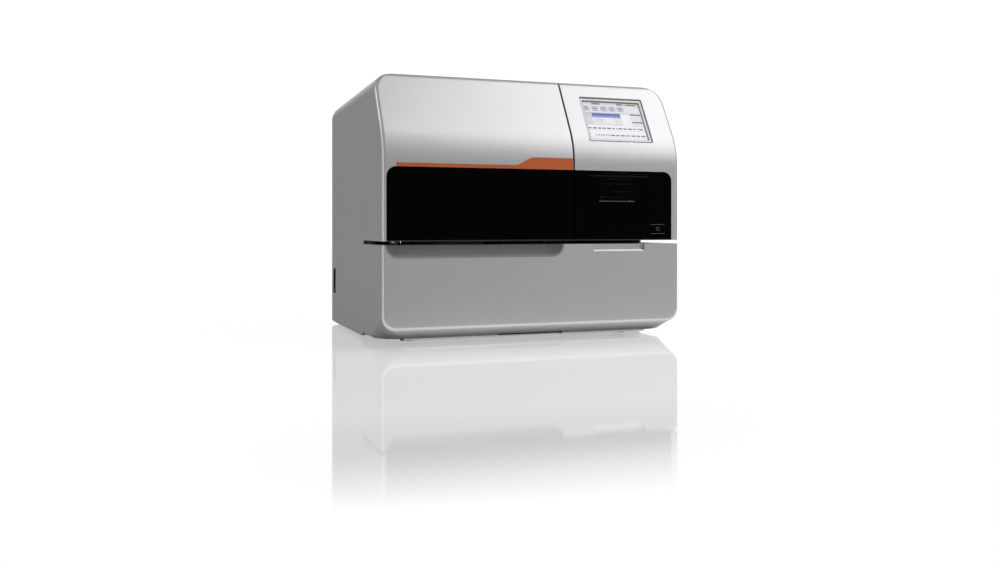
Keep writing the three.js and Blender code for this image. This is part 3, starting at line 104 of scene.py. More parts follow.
# shader maths: a wire is one socket, and sums of wires add their own nodes
class Wire:
    def __init__(self, paint, socket):
        self.paint = paint
        self.socket = socket

    def sum(self, operation, first, second):
        return self.paint.add("ShaderNodeMath", {"operation": operation}, {0: first, 1: second})

    def __add__(self, other):
        return self.sum("ADD", self, other)

    def __radd__(self, other):
        return self.sum("ADD", other, self)

    def __sub__(self, other):
        return self.sum("SUBTRACT", self, other)

    def __mul__(self, other):
        return self.sum("MULTIPLY", self, other)

    def __gt__(self, other):
        return self.sum("GREATER_THAN", self, other)


class Paint:
    def __init__(self, name, **constants):
        self.material = bpy.data.materials.new(name)
        self.material.use_nodes = True
        self.tree = self.material.node_tree
        self.shader = self.tree.nodes["Principled BSDF"]
        for key, value in constants.items():
            self.feed(self.shader.inputs[key.replace("_", " ")], value)

    def feed(self, socket, value):
        if isinstance(value, Wire):
            self.tree.links.new(value.socket, socket)
        elif socket.type == "RGBA" and len(value) == 3:
            socket.default_value = (*value, 1.0)
        else:
            socket.default_value = value

    def add(self, kind, settings, values, output=0):
        node = self.tree.nodes.new(kind)
        for key, value in settings.items():
            setattr(node, key, value)
        for key, value in values.items():
            self.feed(node.inputs[key], value)
        return Wire(self, node.outputs[output])

    def place(self):
        return self.add("ShaderNodeTexCoord", {}, {}, "Object")

    def noise(self, scale, detail=3.0, stretch=(1, 1, 1)):
        spread = self.add("ShaderNodeVectorMath", {"operation": "MULTIPLY"}, {0: self.place(), 1: stretch})
        return self.add("ShaderNodeTexNoise", {}, {"Vector": spread, "Scale": scale, "Detail": detail})

    def blend(self, share, first, second):
        settings = {"data_type": "RGBA"}
        return self.add("ShaderNodeMix", settings, {0: share, 6: first, 7: second}, 2)

    def colour(self, value):
        self.feed(self.shader.inputs["Base Color"], value)

    def rough(self, value):
        self.feed(self.shader.inputs["Roughness"], value)

    def bump(self, height, depth, strength=1.0):
        values = {"Height": height, "Distance": depth, "Strength": strength}
        self.feed(self.shader.inputs["Normal"], self.add("ShaderNodeBump", {}, values))


def shade(colour, factor):
    return tuple(min(1.0, channel * factor) for channel in colour)


mouldLook = {"cloud": 9, "fineShare": 0.6, "roughRange": 0.1, "strength": 0.4}


def grained(name, colour, rough, grain=400, spread=0.06, depth=0.02):
    look = mouldLook
    paint = Paint(name, Metallic=0.0)
    fine = paint.noise(grain)
    broad = paint.noise(look["cloud"], 2.0)
    mottle = fine * look["fineShare"] + broad * (1 - look["fineShare"])
    paint.colour(paint.blend(mottle, shade(colour, 1 - spread), shade(colour, 1 + spread)))
    paint.rough(rough - look["roughRange"] / 2 + broad * look["roughRange"])
    paint.bump(fine, depth * mm, look["strength"])
    return paint.material


silverLook = {
    "base": (0.55, 0.551, 0.558),
    "darker": 0.94,
    "lighter": 1.07,
    "flake": 2600,
    "cloud": 5,
    "rough": 0.43,
    "roughRange": 0.05,
    "peel": 900,
    "peelDepth": 0.015 * mm,
    "peelStrength": 0.35,
}


def silverPaint():
    look = silverLook
    base = look["base"]
    paint = Paint("silver paint", Metallic=0.68, Specular_IOR_Level=0.3, Coat_Weight=0.4, Coat_Roughness=0.2)
    flake = paint.noise(look["flake"], 1.0)
    broad = paint.noise(look["cloud"], 2.0)
    paint.colour(paint.blend(flake, shade(base, look["darker"]), shade(base, look["lighter"])))
    paint.rough(look["rough"] + broad * look["roughRange"])
    paint.bump(paint.noise(look["peel"], 2.0), look["peelDepth"], look["peelStrength"])
    return paint.material


glossLook = {
    "smear": 14,
    "lighter": 1.6,
    "roughRange": 0.05,
    "ripple": 40,
    "rippleDepth": 0.004 * mm,
    "rippleStrength": 0.2,
}


def glossBlack(name, colour, rough):
    look = glossLook
    paint = Paint(name, Specular_IOR_Level=0.03)
    smear = paint.noise(look["smear"], 4.0)
    paint.colour(paint.blend(smear, colour, shade(colour, look["lighter"])))
    paint.rough(rough + smear * look["roughRange"])
    paint.bump(paint.noise(look["ripple"], 1.0), look["rippleDepth"], look["rippleStrength"])
    return paint.material


brushLook = {
    "scale": 60,
    "darker": 0.88,
    "lighter": 1.08,
    "smoother": 0.06,
    "roughRange": 0.14,
    "depth": 0.02 * mm,
    "strength": 0.3,
}


def brushed(name, colour, rough, along=(1, 60, 60)):
    look = brushLook
    paint = Paint(name, Metallic=0.9)
    lines = paint.noise(look["scale"], 3.0, along)
    paint.colour(paint.blend(lines, shade(colour, look["darker"]), shade(colour, look["lighter"])))
    paint.rough(rough - look["smoother"] + lines * look["roughRange"])
    paint.bump(lines, look["depth"], look["strength"])
    return paint.material


glowLook = {
    "rough": 0.3,
    "specular": 0.2,
    "grid": 3000,
    "tints": (0.97, 1.02),
    "unlit": (0.1, 0.12),
}


def glow(name, colour, strength):
    look = glowLook
    paint = Paint(
        name, Roughness=look["rough"], Specular_IOR_Level=look["specular"], Emission_Strength=strength,
    )
    grid = paint.noise(look["grid"], 1.0)
    tint = paint.blend(grid, *(shade(colour, factor) for factor in look["tints"]))
    paint.colour(paint.blend(grid, *(shade(colour, factor) for factor in look["unlit"])))
    paint.feed(paint.shader.inputs["Emission Color"], tint)
    return paint.material


boardLook = {
    "scale": 160.0,
    "trackEdge": 0.42,
    "track": (0.02, 0.14, 0.05),
    "ground": (0.05, 0.26, 0.1),
    "depth": 0.05 * mm,
    "strength": 0.4,
}


def boardGreen():
    look = boardLook
    paint = Paint("circuit board", Roughness=0.4)
    tracks = paint.add("ShaderNodeTexVoronoi", {"distance": "CHEBYCHEV"}, {
        "Vector": paint.place(), "Scale": look["scale"],
    }, "Distance")
    paint.colour(paint.blend(tracks > look["trackEdge"], look["track"], look["ground"]))
    paint.bump(tracks, look["depth"], look["strength"])
    return paint.material


def clearPlastic():
    paint = Paint("clear vessel", Roughness=0.08, IOR=1.45, Transmission_Weight=0.75)
    paint.colour(paint.blend(paint.noise(30), (0.82, 0.86, 0.84), (0.93, 0.94, 0.9)))
    return paint.material


silver = silverPaint()
black = glossBlack("gloss black panel", (0.0012, 0.0012, 0.0013), 0.07)
smoked = glossBlack("smoked window", (0.001, 0.001, 0.0011), 0.05)
orange = grained("orange stripe", (0.66, 0.135, 0.024), 0.42, grain=1200, depth=0.01)
pale = grained("pale bezel", (0.88, 0.885, 0.90), 0.42, grain=900, spread=0.02, depth=0.01)
steel = brushed("plated sheet", (0.5, 0.5, 0.51), 0.38, along=(2, 40, 40))
bright = brushed("satin metal", (0.7, 0.7, 0.71), 0.26)
rubber = grained("black rubber", (0.022, 0.022, 0.023), 0.78, grain=700, spread=0.25, depth=0.05)
dark = grained("dark moulding", (0.045, 0.046, 0.05), 0.5, grain=1500, spread=0.2, depth=0.04)
white = grained("white moulding", (0.78, 0.78, 0.77), 0.45, grain=1200, spread=0.03, depth=0.02)
paper = grained("paper", (0.85, 0.85, 0.83), 0.8, grain=500, spread=0.03, depth=0.02)
charcoal = grained("charcoal edge", (0.028, 0.028, 0.028), 0.6, grain=900, spread=0.1, depth=0.01)
# darker grey for the finger recess skin: painted shade of the deep cove
recessShadeGrey = grained("grey liner", (0.30, 0.296, 0.288), 0.5, grain=900, spread=0.04, depth=0.01)
# grey for the screen seal and display edge, which also serves as painted shade lines round the screen opening
sealShadeGrey = grained("grey seal", (0.27, 0.27, 0.28), 0.5, grain=900, spread=0.05, depth=0.01)
greyMark = grained("grey marking", (0.2, 0.2, 0.205), 0.5, grain=1500, spread=0.05, depth=0.01)
board = boardGreen()
clear = clearPlastic()
print("materials made")


# meshes
def newPiece(name, points, faces):
    mesh = bpy.data.meshes.new(name)
    mesh.from_pydata([tuple(point) for point in points], [], faces)
    mesh.validate()
    piece = bpy.data.objects.new(name, mesh)
    bpy.context.scene.collection.objects.link(piece)
    return piece


def skinRings(name, rings):
    count = len(rings[0])
    points = [point for ring in rings for point in ring]
    faces = []
    for row in range(len(rings) - 1):
        for spot in range(count):
            following = (spot + 1) % count
            low = row * count
            faces.append((low + spot, low + following, low + count + following, low + count + spot))
    last = (len(rings) - 1) * count
    faces.append(tuple(range(count - 1, -1, -1)))
    faces.append(tuple(range(last, last + count)))
    return newPiece(name, points, faces)


def turned(piece):
    mesh = bmesh.new()
    mesh.from_mesh(piece.data)
    bmesh.ops.recalc_face_normals(mesh, faces=mesh.faces)
    mesh.to_mesh(piece.data)
    mesh.free()
    return piece


def frontPrism(outline, y0, y1, name="cutter"):
    return turned(skinRings(name, [[(x, y, z) for x, z in outline] for y in (y0, y1)]))


def sidePrism(outline, x0, x1, name="cutter"):
    return turned(skinRings(name, [[(x, y, z) for y, z in outline] for x in (x0, x1)]))


def levelPrism(outline, z0, z1, name="cutter"):
    return turned(skinRings(name, [[(x, y, z) for x, y in outline] for z in (z0, z1)]))


def block(x0, x1, y0, y1, z0, z1, name="cutter"):
    return levelPrism([(x0, y0), (x1, y0), (x1, y1), (x0, y1)], z0, z1, name)


def arc(centreA, centreB, radius, start, end, steps):
    turns = [start + (end - start) * step / steps for step in range(steps + 1)]
    return [(centreA + radius * math.cos(turn), centreB + radius * math.sin(turn)) for turn in turns]


def rounded(x0, x1, z0, z1, low, high, steps=8):
    quarter = math.pi / 2
    return (
        arc(x1 - low, z0 + low, low, -quarter, 0, steps)
        + arc(x1 - high, z1 - high, high, 0, quarter, steps)
        + arc(x0 + high, z1 - high, high, quarter, 2 * quarter, steps)
        + arc(x0 + low, z0 + low, low, 2 * quarter, 3 * quarter, steps)
    )


def rod(axis, radius, start, end, first, second, sides=32, name="cutter"):
    circle = arc(first, second, radius, 0, 2 * math.pi, sides)[:-1]
    makers = {"x": sidePrism, "y": frontPrism, "z": levelPrism}
    return makers[axis](circle, start, end, name)


def settle(piece):
    graph = bpy.context.evaluated_depsgraph_get()
    mesh = bpy.data.meshes.new_from_object(piece.evaluated_get(graph))
    piece.modifiers.clear()
    piece.data = mesh
    return piece


def carve(piece, operation, *tools):
    for tool in tools:
        cut = piece.modifiers.new("cut", "BOOLEAN")
        cut.operation = operation
        cut.solver = "MANIFOLD"
        cut.object = tool
        settle(piece)
        bpy.data.objects.remove(tool)
    return piece


def copyOf(piece, name):
    twin = bpy.data.objects.new(name, piece.data.copy())
    bpy.context.scene.collection.objects.link(twin)
    return twin


def finishPiece(piece, body, slot, material, replaced=(), bevel=0.0, angle=32):
    piece.data.materials.clear()
    piece.data.materials.append(material)
    if bevel:
        edge = piece.modifiers.new("edges", "BEVEL")
        edge.width = bevel
        edge.segments = 2
        edge.limit_method = "ANGLE"
        edge.angle_limit = math.radians(angle)
        edge.use_clamp_overlap = False
        edge.miter_outer = "MITER_ARC"
        settle(piece)
    piece.data.polygons.foreach_set("use_smooth", [True] * len(piece.data.polygons))
    piece.data.set_sharp_from_angle(angle=math.radians(angle))
    piece.modifiers.new("even", "WEIGHTED_NORMAL").keep_sharp = True
    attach(piece, body)
    if replaced:
        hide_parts(*replaced)
    return piece


# the outer form, as the works frame has it, in finer steps
slant = form["slant"]
archCentreY = frontY + form["archRadius"]
archEndY = archCentreY - form["archRadius"] * math.cos(slant)
archEndZ = form["archStart"] + form["archRadius"] * math.sin(slant)
crestZ = crown - form["crest"]
slantRun = (crestZ - archEndZ + form["crest"] * math.sin(slant)) / math.cos(slant)
crestY = archEndY + slantRun * math.sin(slant) + form["crest"] * math.cos(slant)
topSlope = form["topFall"] / (rearY - crestY)


def frontAt(z, inset=0):
    bend = form["archRadius"] - inset
    archTop = form["archStart"] + bend * math.sin(slant)
    crestBend = form["crest"] - inset
    if z <= form["archStart"]:
        return frontY + inset
    if z <= archTop:
        return archCentreY - math.sqrt(bend ** 2 - (z - form["archStart"]) ** 2)
    if z <= crestZ + crestBend * math.sin(slant):
        return archCentreY - bend * math.cos(slant) + (z - archTop) * math.tan(slant)
    rise = min(crestBend, z - crestZ)
    return crestY - math.sqrt(crestBend ** 2 - rise ** 2)


def levelRing(side, yFront, yRear, z, front, rear, steps):
    weight = max(0, (z - form["archStart"]) / (crown - form["archStart"]))
    quarter = math.pi / 2
    plan = (
        arc(-side + front, yFront + front, front, 2 * quarter, 3 * quarter, steps)
        + arc(side - front, yFront + front, front, 3 * quarter, 4 * quarter, steps)
        + arc(side - rear, yRear - rear, rear, 0, quarter, steps)
        + arc(-side + rear, yRear - rear, rear, quarter, 2 * quarter, steps)
    )
    return [(x, y, z - topSlope * max(0, y - crestY) * weight) for x, y in plan]


def envelope(inset, bottom, steps=14):
    top, low = crown - inset, bottom + inset
    high, lowBend, rear = form["topCorner"] - inset, form["skirt"] - inset, form["rearTop"] - inset
    levels = set()
    for step in range(steps + 1):
        angle = step / steps * math.pi / 2
        levels.add(low + lowBend * (1 - math.cos(angle)))
        levels.add(top - high * (1 - math.cos(angle)))
        levels.add(form["archStart"] + (form["archRadius"] - inset) * math.sin(step / steps * slant))
        levels.add(crestZ + (form["crest"] - inset) * math.sin(slant + step / steps * (math.pi / 2 - slant)))
    ordered = sorted(levels)
    kept = [ordered[0]]
    for z in ordered[1:]:
        if z - kept[-1] > form["ringGap"]:
            kept.append(z)
    kept[-1] = top
    rings = []
    for z in kept:
        overTop = max(0, z - top + high)
        underLow = max(0, low + lowBend - z)
        overRear = max(0, z - top + rear)
        side = halfWidth - inset - high + math.sqrt(max(0, high ** 2 - overTop ** 2))
        side += math.sqrt(max(0, lowBend ** 2 - underLow ** 2)) - lowBend
        yRear = rearY - inset - rear + math.sqrt(max(0, rear ** 2 - overRear ** 2))
        fillets = form["frontFillet"] - inset, form["rearFillet"] - inset
        rings.append(levelRing(side, frontAt(z, inset), yRear, z, *fillets, form["cornerSteps"]))
    return skinRings("envelope", rings)


# the lower front: a flat face with round corners, a bead round it, then a slope back to the hull's edge
rim = {
    "high": 21 * mm,
    "depth": 42 * mm,
    "bead": 7 * mm,
    "corner": 18 * mm,
    "hull": 55 * mm,
    "steps": 14,
    "turns": 10,
    "slopes": 5,
}
rim["slant"] = math.atan2(rim["high"], rim["depth"])
rim["reach"] = rim["bead"] * (1 - math.sin(rim["slant"]))
rim["centre"] = rim["high"] - rim["reach"] * math.tan(rim["slant"]) + rim["bead"] * math.cos(rim["slant"])


def lowerForm(inset):
    side, low, back = halfWidth - inset, lowerLow + inset, joinY + inset * 2
    cornerX = halfWidth - form["frontFillet"] - rim["corner"]
    cornerZ = lowerLow + rim["centre"] + rim["corner"]
    bead, fillet = rim["bead"] - inset, form["frontFillet"] - inset
    beadRun = bead * (1 - math.sin(rim["slant"]))
    slopeTop = lowerLow + rim["centre"] - bead * math.cos(rim["slant"])
    slopeEnd = frontY + inset + beadRun + (slopeTop - low) / math.tan(rim["slant"])
    hull = rim["hull"] - inset

    def onBead(share, turn):
        angle = share * math.pi / 2
        radius = bead + (fillet - bead) * share
        bend = turn * (math.pi / 2 - rim["slant"] * (1 - share))
        out = rim["corner"] + radius * math.sin(bend)
        y = frontY + inset + radius * (1 - math.cos(bend))
        return Vector((cornerX + out * math.sin(angle), y, cornerZ - out * math.cos(angle)))

    def onSlope(share, run):
        angle = share * math.pi / 2
        foot = Vector((side - hull + hull * math.sin(angle), slopeEnd + hull - hull * math.cos(angle), low))
        return onBead(share, 1).lerp(foot, run)

    halves = []
    shares = [step / rim["steps"] for step in range(rim["steps"] + 1)]
    for turn in range(rim["turns"] + 1):
        halves.append([onBead(share, turn / rim["turns"]) for share in shares])
    for run in range(1, rim["slopes"] + 1):
        halves.append([onSlope(share, run / rim["slopes"]) for share in shares])
    halves.append([Vector((point.x, back, point.z)) for point in halves[-1]])
    rings = []
    for half in halves:
        right = half + [Vector((half[-1].x, half[-1].y, lowerTop + over))]
        left = [Vector((-point.x, point.y, point.z)) for point in reversed(right)]
        rings.append(left + right)
    return turned(skinRings("lowerForm", rings))


frontOuter = envelope(0, lowerLow)
frontInner = envelope(form["wall"], lowerLow)
rearOuter = envelope(0, coverLow)
rearInner = envelope(form["wall"], coverLow)
wall = form["wall"]

# the black band across lid and right moulding, with a dark lip under it
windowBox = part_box("lid_window")
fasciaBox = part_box("right_fascia")
band = {
    "left": windowBox[0].x - 3.7 * mm,
    "right": fasciaBox[1].x - 2 * mm,
    "low": upperLow + 1.9 * mm,
    "high": windowBox[1].z + fit,
    "lowRadius": 1.2 * mm,
    "highRadius": 17 * mm,
    "ledge": 7 * mm,
    "face": windowBox[0].y,
    "back": windowBox[1].y,
    "seam": 24 * mm,
    "through": wall * 6,
    "bevel": 0.35 * mm,
}
lip = {"back": 0.3 * mm, "under": 0.1 * mm, "above": 0.05 * mm, "bevel": 0.3 * mm}


def bandOutline(margin, low):
    return rounded(
        band["left"] + margin, band["right"] - margin, low, band["high"] - margin,
        band["lowRadius"], band["highRadius"] - margin,
    )


def bandPocket():
    return frontPrism(bandOutline(0, upperLow - over / 2), frontY - over, band["back"] + fit)


def bandSight():
    outline = bandOutline(band["ledge"], upperLow + band["ledge"])
    return frontPrism(outline, frontY - over, frontY + band["through"])


def bandPanel(name):
    return frontPrism(bandOutline(fit, band["low"]), band["face"], band["back"], name)


def makeLip(name, left, right, body):
    strip = block(
        left, right, band["face"] + lip["back"], band["back"],
        upperLow + lip["under"], band["low"] - lip["above"], name,
    )
    finishPiece(strip, body, "black_gloss", charcoal, bevel=lip["bevel"])


# orange stripe: a thin line that steps up to a tab at the seam
stripe = {
    "box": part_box("accent_stripe"),
    "low": band["high"] + 0.3 * mm,
    "thin": 5.9 * mm,
    "rampStart": -44 * mm,
    "rampEnd": -11 * mm,
    "straightShare": 0.65,
    "steps": 16,
    "bevel": 0.15 * mm,
}


def stripeOutline(margin, drop=0):
    left, right = stripe["box"][0].x - margin, stripe["box"][1].x + margin
    low, high = stripe["low"], stripe["box"][1].z + margin
    points = [(left, low - drop), (right, low - drop), (right, high)]
    for step in range(stripe["steps"] + 1):
        share = step / stripe["steps"]
        x = stripe["rampEnd"] + (stripe["rampStart"] - stripe["rampEnd"]) * share
        soft = (1 - math.cos(math.pi * share)) / 2
        rise = share * stripe["straightShare"] + soft * (1 - stripe["straightShare"])
        points.append((x - margin / 2, high + (low + stripe["thin"] + margin - high) * rise))
    points.append((left, low + stripe["thin"] + margin))
    return points


# the lid: a shell with a hinge tube along its rear edge, notched for the two knuckles
hinge = {
    "turns": 7,
    "sweep": math.pi * 7 / 16,
    "riseShare": 1.44,
    "sides": 28,
    "bore": 1.8 * mm,
    "boreSides": 20,
    "overlap": 9 * mm,
    "knuckle": 30 * mm,
    "slack": 0.8 * mm,
    "room": 5.8 * mm,
    "bevel": 0.5 * mm,
}
rib = {
    "places": (-205 * mm, -98 * mm, 10 * mm),
    "behind": 14 * mm,
    "above": 6 * mm,
    "deep": 42 * mm,
    "under": 12 * mm,
    "high": 9 * mm,
    "levels": (350 * mm, 390 * mm, 465 * mm),
    "run": 60 * mm,
    "rearLevel": 400 * mm,
    "bevel": 0.3 * mm,
}


def lidProfile(radius):
    edge = [(-far, upperLow), (joinY, upperLow)]
    edge += arc(hingeY, hingeZ, radius, 0, hinge["sweep"], hinge["turns"])
    edge += [(hingeY - radius * 2, hingeZ + radius * hinge["riseShare"])]
    return edge + [(hingeY - radius * 3, hingeZ + radius * 3), (-far, hingeZ + radius * 3)]


def makeLid():
    radius = abs(hingeY - joinY)
    through = frontY + band["through"]
    lid = copyOf(frontOuter, "lidShell")
    carve(lid, "INTERSECT", sidePrism(lidProfile(radius), -far, lidRight))
    hollow = copyOf(frontInner, "cutter")
    carve(hollow, "INTERSECT", block(-far, lidRight - wall, -far, far, 0, far))
    carve(hollow, "DIFFERENCE", block(-far, far, -far, through, 0, upperLow + wall))
    openRight = copyOf(frontInner, "cutter")
    carve(openRight, "INTERSECT", block(-far, lidRight + wall, through, far, 0, crown - band["through"]))
    carve(openRight, "DIFFERENCE", block(-far, far, -far, through, 0, upperLow + wall))
    carve(lid, "DIFFERENCE", hollow, openRight, bandPocket(), bandSight())
    stripeFloor = stripe["box"][1].y + fit
    carve(lid, "DIFFERENCE", frontPrism(stripeOutline(fit, mm), frontY - over, stripeFloor))
    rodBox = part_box("lid_hinge_rod")
    left, right = rodBox[0].x, rodBox[1].x
    tube = rod("x", radius - fit, left - wall, lidRight - wall / 2, hingeY, hingeZ, hinge["sides"])
    bore = rod("x", hinge["bore"], left - fit, right + fit, hingeY, hingeZ, hinge["boreSides"])
    carve(lid, "UNION", tube)
    carve(lid, "DIFFERENCE", bore)
    for start in (left + hinge["overlap"], right - hinge["overlap"] - hinge["knuckle"]):
        carve(lid, "DIFFERENCE", block(
            start - hinge["slack"], start + hinge["knuckle"] + hinge["slack"],
            hingeY - hinge["room"], joinY + over, hingeZ - hinge["room"], crown + over,
        ))
    finishPiece(lid, "lid", "silver", silver, ["light_shield_lid"], hinge["bevel"])


def makeLidRibs():
    top = rib["levels"][-1]
    inside = [(frontAt(band["high"]) + rib["high"], 0)]
    inside += [(frontAt(z) + rib["high"], z) for z in rib["levels"]]
    inside += [(frontAt(top) + rib["run"], top), (0, rib["rearLevel"]), (0, 0)]
    for index, x in enumerate(rib["places"]):
        piece = copyOf(frontInner, f"lidRib_{index + 1}")
        low = band["high"] + rib["above"]
        carve(piece, "INTERSECT", block(x - mm, x + mm, -far, joinY - rib["behind"], low, far))
        behind = block(x - wall, x + wall, frontY + rib["deep"], far, 0, crown - rib["under"])
        carve(piece, "DIFFERENCE", behind, sidePrism(inside, x - wall, x + wall))
        finishPiece(piece, "lid", "silver", silver, bevel=rib["bevel"])


makeLid()
makeLidRibs()
windowPanel = carve(bandPanel("lidWindow"), "INTERSECT", block(-far, windowBox[1].x, -far, far, 0, far))
finishPiece(windowPanel, "lid", "smoked_window", smoked, ["lid_window"], band["bevel"])
stripePiece = frontPrism(stripeOutline(0), stripe["box"][0].y, stripe["box"][1].y, "accentStripe")
finishPiece(stripePiece, "lid", "orange", orange, ["accent_stripe"], stripe["bevel"])
makeLip("lidLip", band["left"] + fit, windowBox[1].x, "lid")
print("lid made")

# the printer door, which the housing above it makes room for
doorAxisY, doorAxisZ = joints["printer_door_hinge"]["pos_m"][1:]
door = {
    "gap": 0.8 * mm,
    "headroom": 1.4 * mm,
    "slotLeft": 124.5 * mm,
    "slotRight": 197 * mm,
    "slotRoundShare": 0.45,
    "paperSlot": 260.8 * mm,
    "paperHigh": 2.4 * mm,
    "louvres": [266.8 * mm, 277.6 * mm, 291.5 * mm, 301 * mm],
    "louvreHigh": 1.2 * mm,
    "thick": 3 * mm,
    "pin": 1.2 * mm,
    "bore": 1.5 * mm,
    "boreSides": 20,
    "ear": 5 * mm,
    "earHalf": 3.6 * mm,
    "bevel": 0.18 * mm,
}
tear = {"proud": 0.05 * mm, "deep": 1.2 * mm, "high": mm, "drop": 0.1 * mm, "bevel": 0.15 * mm}

# the screen's own frame: across, up the slant and out of it
screen = {
    "centre": Vector((175 * mm, 0, 417.5 * mm)),
    "frameWide": 135 * mm,
    "frameLong": 102 * mm,
    "wide": 124 * mm,
    "long": 90 * mm,
    "corner": 3 * mm,
    "top": 2.6 * mm,
    "thick": 4.6 * mm,
    "gasket": 0.7 * mm,
    "bezelCorner": 2.4 * mm,
    "sightCorner": 1.2 * mm,
    "edgeWide": 0.6 * mm,
    "edgeDrop": 0.8 * mm,
    "bevel": 0.5 * mm,
}
screen["centre"].y = frontAt(screen["centre"].z)
onSlant = Matrix.Translation(screen["centre"]) @ Matrix((
    (1, 0, 0, 0),
    (0, math.sin(slant), -math.cos(slant), 0),
    (0, math.cos(slant), math.sin(slant), 0),
    (0, 0, 0, 1),
))


def slantPrism(outline, low, high, name="cutter"):
    piece = levelPrism(outline, low, high, name)
    piece.data.transform(onSlant)
    return piece


def screenOutline(wide, long, corner):
    return rounded(-wide / 2, wide / 2, -long / 2, long / 2, corner, corner, 6)


def makeHousing():
    housing = copyOf(frontOuter, "displayHousing")
    carve(housing, "INTERSECT", block(housingLeft, far, -far, joinY, upperLow, far))
    hollow = copyOf(frontInner, "cutter")
    carve(hollow, "INTERSECT", block(housingLeft + wall, far, -far, far, upperLow + wall, far))
    sight = bandSight()
    carve(sight, "INTERSECT", block(housingLeft + wall, far, -far, far, 0, far))
    opening = slantPrism(
        screenOutline(screen["frameWide"], screen["frameLong"], screen["corner"]), -over * 3, over * 3,
    )
    doorRoom = block(
        doorBox[0].x - mm, doorBox[1].x + mm, frontY, frontY + band["through"],
        doorBox[0].z, doorBox[1].z + door["headroom"],
    )
    carve(housing, "DIFFERENCE", hollow, bandPocket(), sight, opening, doorRoom)
    finishPiece(housing, "case", "silver", silver, ["display_housing"], screen["bevel"])


def screenRing(name, wide, long, corner, width, low, high):
    ring = slantPrism(screenOutline(wide, long, corner), low, high, name)
    return carve(ring, "DIFFERENCE", slantPrism(
        screenOutline(wide - width * 2, long - width * 2, corner - width), -over * 3, over * 3,
    ))


def makeBezel():
    low = -screen["top"] - screen["thick"]
    wide, long, seal = screen["frameWide"], screen["frameLong"], screen["gasket"]
    outer = screenRing("screenGasket", wide - fit, long - fit, screen["corner"], seal, low, -seal)
    finishPiece(outer, "case", "rubber", sealShadeGrey)
    # the bezel sits low and left in its opening, so the grey seal shows above and to the right, painted shade
    # lines along the top and right edges of the opening
    shift = seal / 2 + fit * 2
    outline = screenOutline(wide - seal + fit, long - seal + fit, screen["bezelCorner"])
    bezel = slantPrism([(x - shift, z - shift) for x, z in outline], low, -screen["top"], "screenBezel")
    sight = screenOutline(screen["wide"], screen["long"], screen["sightCorner"])
    carve(bezel, "DIFFERENCE", slantPrism(sight, -over * 3, over))
    finishPiece(bezel, "case", "pale_bezel", pale, ["screen_bezel"], screen["bevel"])
    inner = screenRing(
        "displayEdge", screen["wide"] - fit, screen["long"] - fit, mm, screen["edgeWide"],
        low, -screen["top"] - screen["edgeDrop"],
    )
    finishPiece(inner, "case", "dark_plastic", sealShadeGrey)


makeHousing()
makeBezel()
print("right moulding made")


# the lit page: plain bars, blocks and a grid, as shares of the sight area from its top left corner
pageShares = {
    "lilac": [(0.0, 0.985, 0.08, 0.29), (0.52, 0.64, 0.40, 0.58), (0.80, 0.99, 0.32, 0.62)],
    "greyBar": [
        (0.0, 0.73, 0.0, 0.08), (0.0, 0.13, 0.40, 0.58), (0.0, 0.98, 0.725, 0.735), (0.0, 0.98, 0.905, 0.915),
    ],
    "blueRow": [(0.135, 0.63, 0.345, 0.40)],
    "tealRow": [(0.135, 0.63, 0.29, 0.345)],
    "greyCell": [(0.0, 0.13, 0.29, 0.40)],
    "tag": [(0.73, 0.995, 0.0, 0.08)],
    "tagLine": [(0.78, 0.95, 0.028, 0.056)],
    "mark": [(0.18, 0.32, 0.022, 0.058), (0.61, 0.72, 0.022, 0.058)],
    "line": [(0.0, 0.985, 0.274, 0.286), (0.0, 0.64, 0.58, 0.59), (0.52, 0.526, 0.40, 0.58)],
}
keyShares = ((0.01, 0.13), (0.157, 0.28), (0.304, 0.433), (0.45, 0.58), (0.60, 0.72))
keyTextShares = ((0.2, 0.75), (0.1, 0.9), (0.25, 0.6))
listShares = {"top": 0.416, "pitch": 0.036, "right": 0.52, "high": 0.012, "line": 0.003}
barShares = {"rows": ((0.665, 0.02), (0.845, 0.12)), "end": 0.93, "gap": 0.022, "high": 0.032}
for left, right in keyShares:
    pageShares["greyCell"].append((left, right, 0.10, 0.24))
    for row, (start, stop) in enumerate(keyTextShares):
        span, top = right - left, 0.12 + row * 0.04
        pageShares["mark"].append((left + span * start, left + span * stop, top, top + 0.016))
for row in range(4):
    top = listShares["top"] + row * listShares["pitch"]
    line = top + listShares["high"] * 2
    pageShares["line"].append((0.0, listShares["right"], line, line + listShares["line"]))
    pageShares["greyCell"].append((0.15, 0.30 + 0.04 * (row % 2), top, top + listShares["high"]))
for top, start in barShares["rows"]:
    spot = start
    while spot < barShares["end"]:
        long = 0.02 + 0.05 * ((int(spot * 100) * 7) % 4) / 3
        pageShares["mark"].append((spot, min(0.98, spot + long), top, top + barShares["high"]))
        spot += long + barShares["gap"]
pageShares["mark"] += [(0.80, 0.985, 0.285, 0.315), (0.81, 0.99, 0.485, 0.515)]
pageTints = {
    "ground": (0.93, 0.94, 0.96),
    "lilac": (0.70, 0.71, 0.78),
    "greyBar": (0.66, 0.66, 0.73),
    "blueRow": (0.24, 0.28, 0.52),
    "tealRow": (0.10, 0.14, 0.40),
    "greyCell": (0.56, 0.57, 0.62),
    "tag": (0.60, 0.61, 0.46),
    "tagLine": (0.20, 0.21, 0.06),
    "mark": (0.17, 0.17, 0.18),
    "line": (0.42, 0.43, 0.50),
}


glass = {
    "margin": 2.5 * mm,
    "thick": 1.5 * mm,
    "drop": 0.1 * mm,
    "layer": 0.02 * mm,
    "light": 0.8,
    "markLight": 0.92,
}
boxFaces = ((3, 2, 1, 0), (4, 5, 6, 7), (0, 1, 5, 4), (1, 2, 6, 5), (2, 3, 7, 6), (3, 0, 4, 7))


